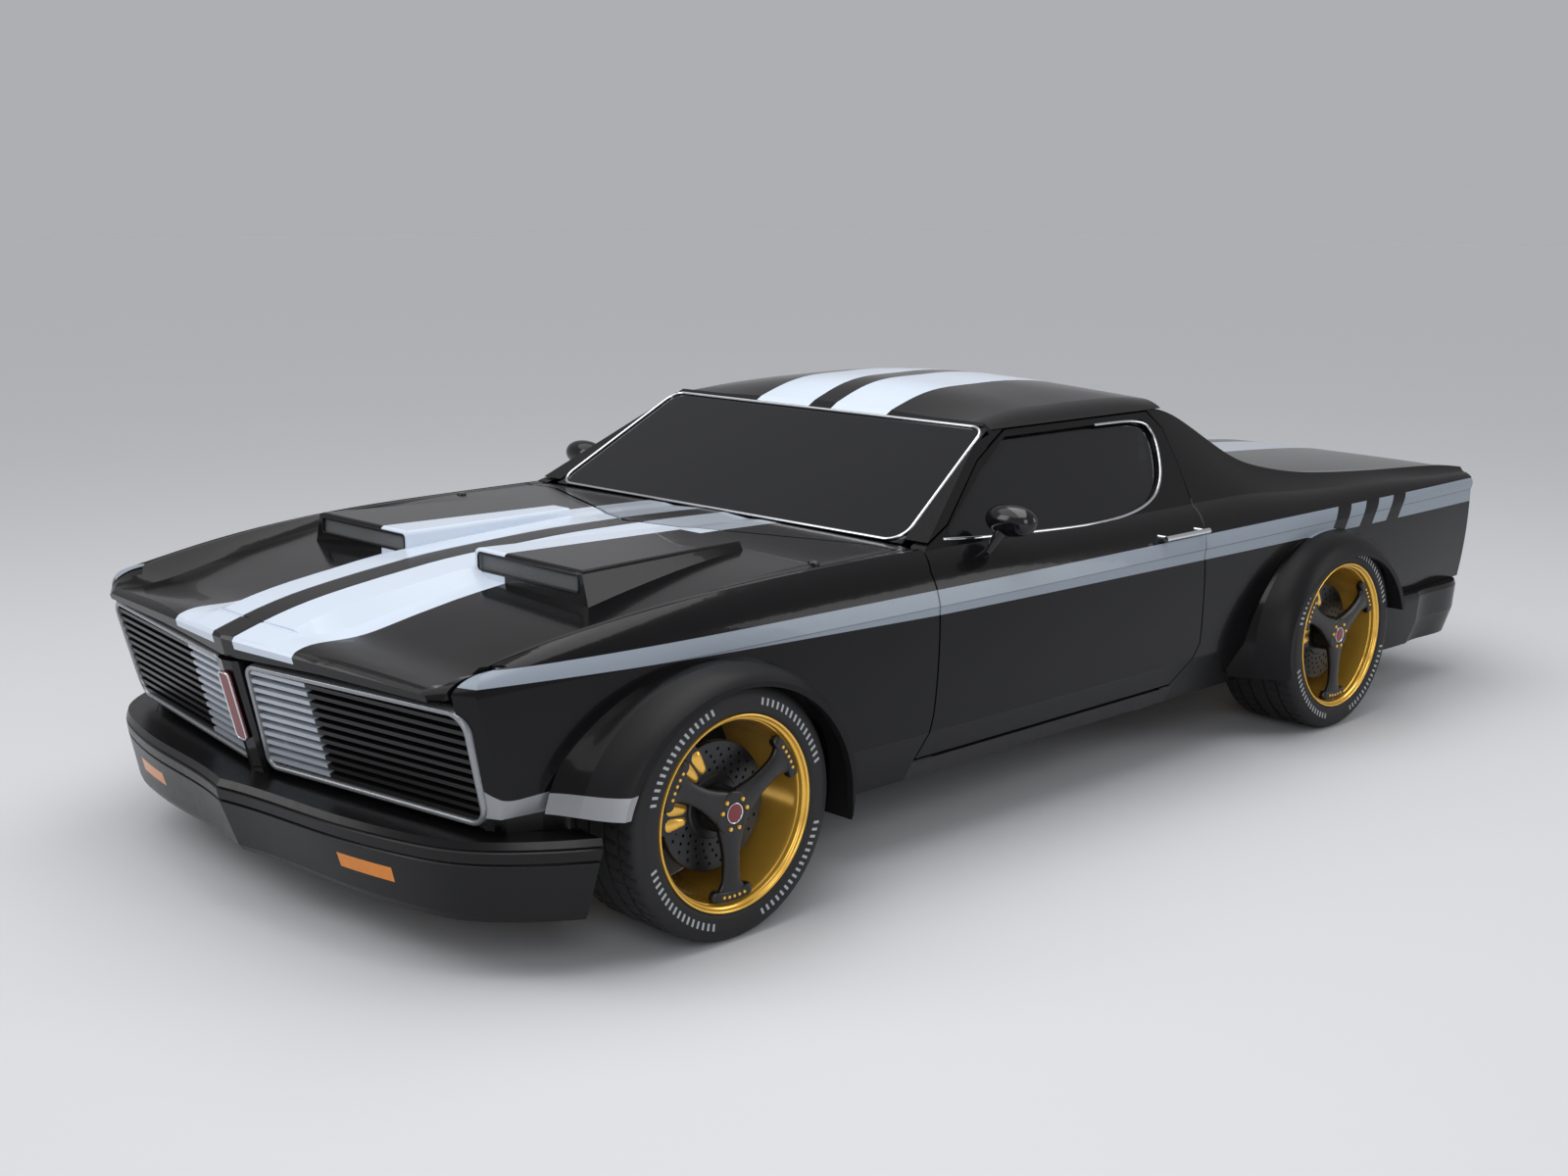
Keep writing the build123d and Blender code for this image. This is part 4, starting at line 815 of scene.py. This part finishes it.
# Ends of the rear bumper, which run on from the middle one to the wheel openings
bumperEnd = {"start": -1.9294, "z": [0.168, 0.215, 0.262, 0.330, 0.350, 0.366],
             "y": [0.934, 0.951, 0.966, 0.972, 0.974, 0.968], "depth": 0.050, "opening": 0.385,
             "taper": 0.016, "steps": 13}


def bumperEndSurface(sign):
    # Closed section carried forward as far as a circle about the axle, drawing in on the way
    z, y = np.array(bumperEnd["z"]), np.array(bumperEnd["y"])
    height, outward = np.r_[z, z[::-1]], np.r_[y, y[::-1] - bumperEnd["depth"]]
    front = axles["rear"] - np.sqrt(bumperEnd["opening"] ** 2 - (height - axles["height"]) ** 2)
    share = np.r_[0, np.linspace(0, 1, bumperEnd["steps"]), 1][:, None]
    width = np.r_[0, np.ones(bumperEnd["steps"]), 0][:, None]
    p = np.stack([bumperEnd["start"] + (front - bumperEnd["start"]) * share,
                  sign * (outward - bumperEnd["taper"] * share ** 2), height + 0 * share])
    middle = p.mean(2, keepdims=True)
    return grid(*(middle + (p - middle) * width), roundV=True)


makePiece("rearBumperEnds", [bumperEndSurface(1), bumperEndSurface(-1)], bumperPaint, "car_body", 40)

mirror = {"middle": (0.430, 0.955, 0.905), "back": 0.0345, "half": (0.054, 0.026), "thick": 0.0012}


def mirrorSurface(sign):
    # Flat oval on the rear of the pod
    share = np.array([0, 1.0, 1.0, 0])[:, None]
    depth = np.array([0, 0, 1.0, 1.0])[:, None] * mirror["thick"]
    turn = onceRound(48)
    x, y, z = mirror["middle"]
    (w, h), back = mirror["half"], mirror["back"]
    return grid(x - back - depth, sign * (y + w * share * np.cos(turn)), z + h * share * np.sin(turn),
                roundV=True)


for side, sign in sides:
    makePiece(f"mirrorGlass_{side}", [mirrorSurface(sign)], chrome, f"door_{side}_body", 40)
print("trims ready")


# Cabin
sewn = {"depth": 0.007, "half": 0.006, "reach": 0.62}


def pad(place, along, outward, size, seams=(), crossSeams=(), bolster=0.0, crown=0.1):
    # Rounded slab: its section shrinks towards both ends by a high power of the distance, and the top is
    # crowned, raised at the sides by a smooth step and pressed in along the seams
    along, outward = np.array(along, float), np.array(outward, float)
    along, outward = along / np.linalg.norm(along), outward / np.linalg.norm(outward)
    across = np.cross(outward, along)
    length, width, thick = size
    t = np.sin(np.linspace(-np.pi / 2, np.pi / 2, 65))[:, None]
    end = (1 - np.abs(t) ** 10) ** 0.3
    inset = min(0.5, thick / width)
    rim = [(-1, -1), (inset - 1, -1), (1 - inset, -1), (1, -1),
           (1, 1), (1 - inset, 1), (inset - 1, 1), (-1, 1)]
    half = np.array([width / 2, thick / 2])
    s, c = (evenly(softened(rim, 3) * half, 120) / half).T
    top = np.clip(c * 2, 0, 1)
    side = np.clip((np.abs(s) - 0.5) / 0.35, 0, 1)
    rise = crown * thick * (1 - s ** 2) * (1 - t ** 2) + bolster * side * side * (3 - 2 * side)
    for seam in seams:
        rise = rise - sewn["depth"] * np.exp(-((s - seam) * width / 2 / sewn["half"]) ** 2)
    for seam in crossSeams:
        press = np.exp(-((t - seam) * length / 2 / sewn["half"]) ** 2)
        rise = rise - sewn["depth"] * press * (np.abs(s) < sewn["reach"])
    high = thick / 2 * c * end + rise * top * end
    wide = s * width / 2 * end ** 0.6
    p = (np.array(place, float) + along * (t * length / 2)[..., None] + across * wide[..., None]
         + outward * high[..., None])
    return grid(p[..., 0], p[..., 1], p[..., 2], roundV=True)


seat = {"y": 0.425, "lean": (-0.085, 0.53),
        "seatCushion": {"at": (0.105, 0.385), "size": (0.52, 0.50, 0.115), "seams": (-0.52, 0.52),
                        "crossSeams": (-0.5, -0.2, 0.1, 0.4), "bolster": 0.022},
        "seatBack": {"at": (-0.150, 0.680), "size": (0.60, 0.49, 0.105), "seams": (-0.52, 0.52),
                     "crossSeams": (-0.6, -0.35, -0.1, 0.15, 0.4), "bolster": 0.026},
        "headRest": {"at": (-0.205, 0.990), "size": (0.13, 0.24, 0.075), "crown": 0.3},
        "seatBase": {"at": (0.10, 0.295), "size": (0.46, 0.42, 0.064), "crown": 0.0}}


def seatPart(name, sign, along, outward):
    # One pad of the seat on the given side
    part = dict(seat[name])
    x, z = part.pop("at")
    return pad((x, sign * seat["y"], z), along, outward, **part)


for side, sign in sides:
    lean, rise = seat["lean"]
    level, leaning = ((1, 0, 0), (0, 0, 1)), ((lean, 0, rise), (rise, 0, -lean))
    for name, way in (("seatCushion", level), ("seatBack", leaning), ("headRest", leaning)):
        piece = makePiece(f"{name}_{side}", [seatPart(name, sign, *way)], leather, "car_body", 60,
                          ("seats",) if name == "seatBack" else ())
    makePiece(f"seatBase_{side}", [seatPart("seatBase", sign, *level)], chassisPaint, "car_body", 40)

# Door cards with an armrest and a pull
doorCard = {"middle": (0.06, 0.833, 0.545), "size": (0.86, 0.40, 0.022), "rest": (-0.06, 0.803, 0.600),
            "restSize": (0.40, 0.055, 0.075), "pull": (0.26, 0.812, 0.650), "pullSize": (0.15, 0.016, 0.016)}
for side, sign in sides:
    body, inward = f"door_{side}_body", (0, -sign, 0)
    card, rest, pull = [tuple(np.array(doorCard[k]) * (1, sign, 1)) for k in ("middle", "rest", "pull")]
    makePiece(f"doorCard_{side}", [pad(card, (1, 0, 0), inward, doorCard["size"], (0.1,), (), 0.0, 0.3),
                                   pad(rest, (1, 0, 0), inward, doorCard["restSize"])], leather, body, 50)
    makePiece(f"doorPull_{side}", [pad(pull, (1, 0, 0), inward, doorCard["pullSize"])], chrome, body, 50)


def turnedAt(profile, place, toward, segments=64):
    # Circle of every (forward, radius) point of the profile about an axis that is square to y
    toward = np.array(toward, float)
    a = np.cross(toward, (0, 1, 0))
    b = np.cross(toward, a)
    forward, radius = np.array(profile).T
    turn = onceRound(segments)[:, None, None]
    p = (np.array(place, float) + toward * forward[None, :, None]
         + (a * np.cos(turn) + b * np.sin(turn)) * radius[None, :, None])
    return grid(p[..., 0], p[..., 1], p[..., 2], roundU=True)


dial = {"x": 0.4795, "z": 0.726, "at": [(0.350, 0.046), (0.500, 0.046), (0.600, 0.030), (0.255, 0.030)]}
dialRings, dialFaces = [], []
for y, r in dial["at"]:
    place = (dial["x"], y, dial["z"])
    edge = [(0, r - 0.004), (0.004, r - 0.003), (0.005, r), (0.004, r + 0.003), (0, r + 0.004), (-0.002, r)]
    dialRings.append(turnedAt(edge, place, (-1, 0, 0)))
    dialFaces.append(turnedAt([(0.0, r - 0.003), (0.0012, r - 0.004), (0.0012, 0)], place, (-1, 0, 0)))
makePiece("dialRings", dialRings, chrome, "car_body", 60)
makePiece("dialFaces", dialFaces, trimBlack, "car_body", 60)
print("cabin ready")

# Woven screens in the scoop mouths, just behind the lip
scoop = {"face": 1.6902, "x": 1.6830, "y": (0.1745, 0.5995), "z": (0.8225, 0.8675), "corner": 0.0095,
         "thick": 0.004, "lip": (0.004, 0.0018)}


def screenPlate(sign):
    # Rounded plate across the mouth
    rim = roundedRim(scoop, scoop["x"], sign)
    share = np.array([0, 1.0, 1.0, 0])[:, None, None]
    depth = np.array([0, 0, -1.0, -1.0])[:, None] * scoop["thick"]
    p = rim.mean(0) + (rim - rim.mean(0)) * share
    return grid(p[..., 0] + depth, p[..., 1], p[..., 2], roundV=True)


def mouthLip(sign):
    # Bead round the mouth on the scoop's front
    return carried(roundedRim(scoop, scoop["face"], sign), beadProfile(*scoop["lip"]), (1, 0, 0))


makePiece("scoopLips", [mouthLip(1), mouthLip(-1)], bumperPaint, "hood_body", 50)
makePiece("scoopScreens", [screenPlate(1), screenPlate(-1)], meshWire.material, "hood_body", 30,
          ("scoop_mesh",))

nozzle = {"at": (1.060, 0.800, 0.8430), "half": (0.013, 0.020), "high": 0.0075, "lean": -0.075}


def nozzleSurface(sign):
    # Washer nozzle: an oval rises by a quarter wave to a flat top
    share = np.array([0, 1, 1, 0.94, 0.78, 0.45, 0])
    rise = np.array([-0.25, -0.25, 0.25, 0.70, 0.95, 1, 1]) * nozzle["high"]
    turn = onceRound(40)[:, None]
    (x, y, z), (a, b) = nozzle["at"], nozzle["half"]
    across = b * share * np.sin(turn)
    return grid(x + a * share * np.cos(turn), sign * (y + across), z + rise + across * nozzle["lean"],
                roundU=True)


makePiece("nozzles", [nozzleSurface(1), nozzleSurface(-1)], trimBlack, "hood_body", 50)

# Engine bay
bay = {"cover": (1.47, 0.185, 0.712), "coverSize": (0.50, 0.13, 0.075), "tilt": 0.35,
       "cleaner": (1.44, 0, 0.700), "radiator": (2.06, 0, 0.490), "radiatorSize": (0.70, 0.32, 0.045),
       "battery": (1.95, -0.455, 0.455), "batterySize": (0.20, 0.16, 0.20), "hose": 0.019,
       "filter": [(0, 0), (0, 0.150), (0.004, 0.156), (0.048, 0.156), (0.052, 0.150), (0.052, 0)],
       "lid": [(0.052, 0), (0.052, 0.158), (0.056, 0.163), (0.060, 0.160), (0.064, 0.140), (0.067, 0.05),
               (0.067, 0.014), (0.073, 0.012), (0.074, 0)],
       "hoses": [[(2.045, 0.20, 0.60), (1.98, 0.19, 0.63), (1.90, 0.12, 0.66), (1.80, 0.10, 0.66),
                  (1.775, 0.09, 0.655)],
                 [(2.045, -0.22, 0.38), (1.97, -0.21, 0.37), (1.88, -0.16, 0.40), (1.80, -0.14, 0.42),
                  (1.775, -0.14, 0.42)]]}


def hoseSurface(path):
    # Circle carried along the softened path
    v = onceRound(16)
    circle = np.stack([bay["hose"] * np.cos(v), bay["hose"] * np.sin(v)], -1)
    return carried(softened(path, 3, closed=False), circle, (0, 0, 1), closed=False)


covers = [pad(np.array(bay["cover"]) * (1, sign, 1), (1, 0, 0), (0, sign * bay["tilt"], 1), bay["coverSize"],
              (-0.45, 0, 0.45)) for sign in (1, -1)]
makePiece("valveCovers", covers, gold, "car_body", 40)
makePiece("airFilter", [turnedAt(bay["filter"], bay["cleaner"], (0, 0, 1), 96)], satinBlack, "car_body", 40)
makePiece("filterLid", [turnedAt(bay["lid"], bay["cleaner"], (0, 0, 1), 96)], chrome, "car_body", 40)
makePiece("radiator", [pad(bay["radiator"], (0, 1, 0), (1, 0, 0), bay["radiatorSize"], crown=0.0)],
          finned.material, "car_body", 40)
makePiece("battery", [pad(bay["battery"], (1, 0, 0), (0, 0, 1), bay["batterySize"], crown=0.0)], satinBlack,
          "car_body", 40)
makePiece("hoses", [hoseSurface(path) for path in bay["hoses"]], rubber, "car_body", 60)
print("engine bay ready")
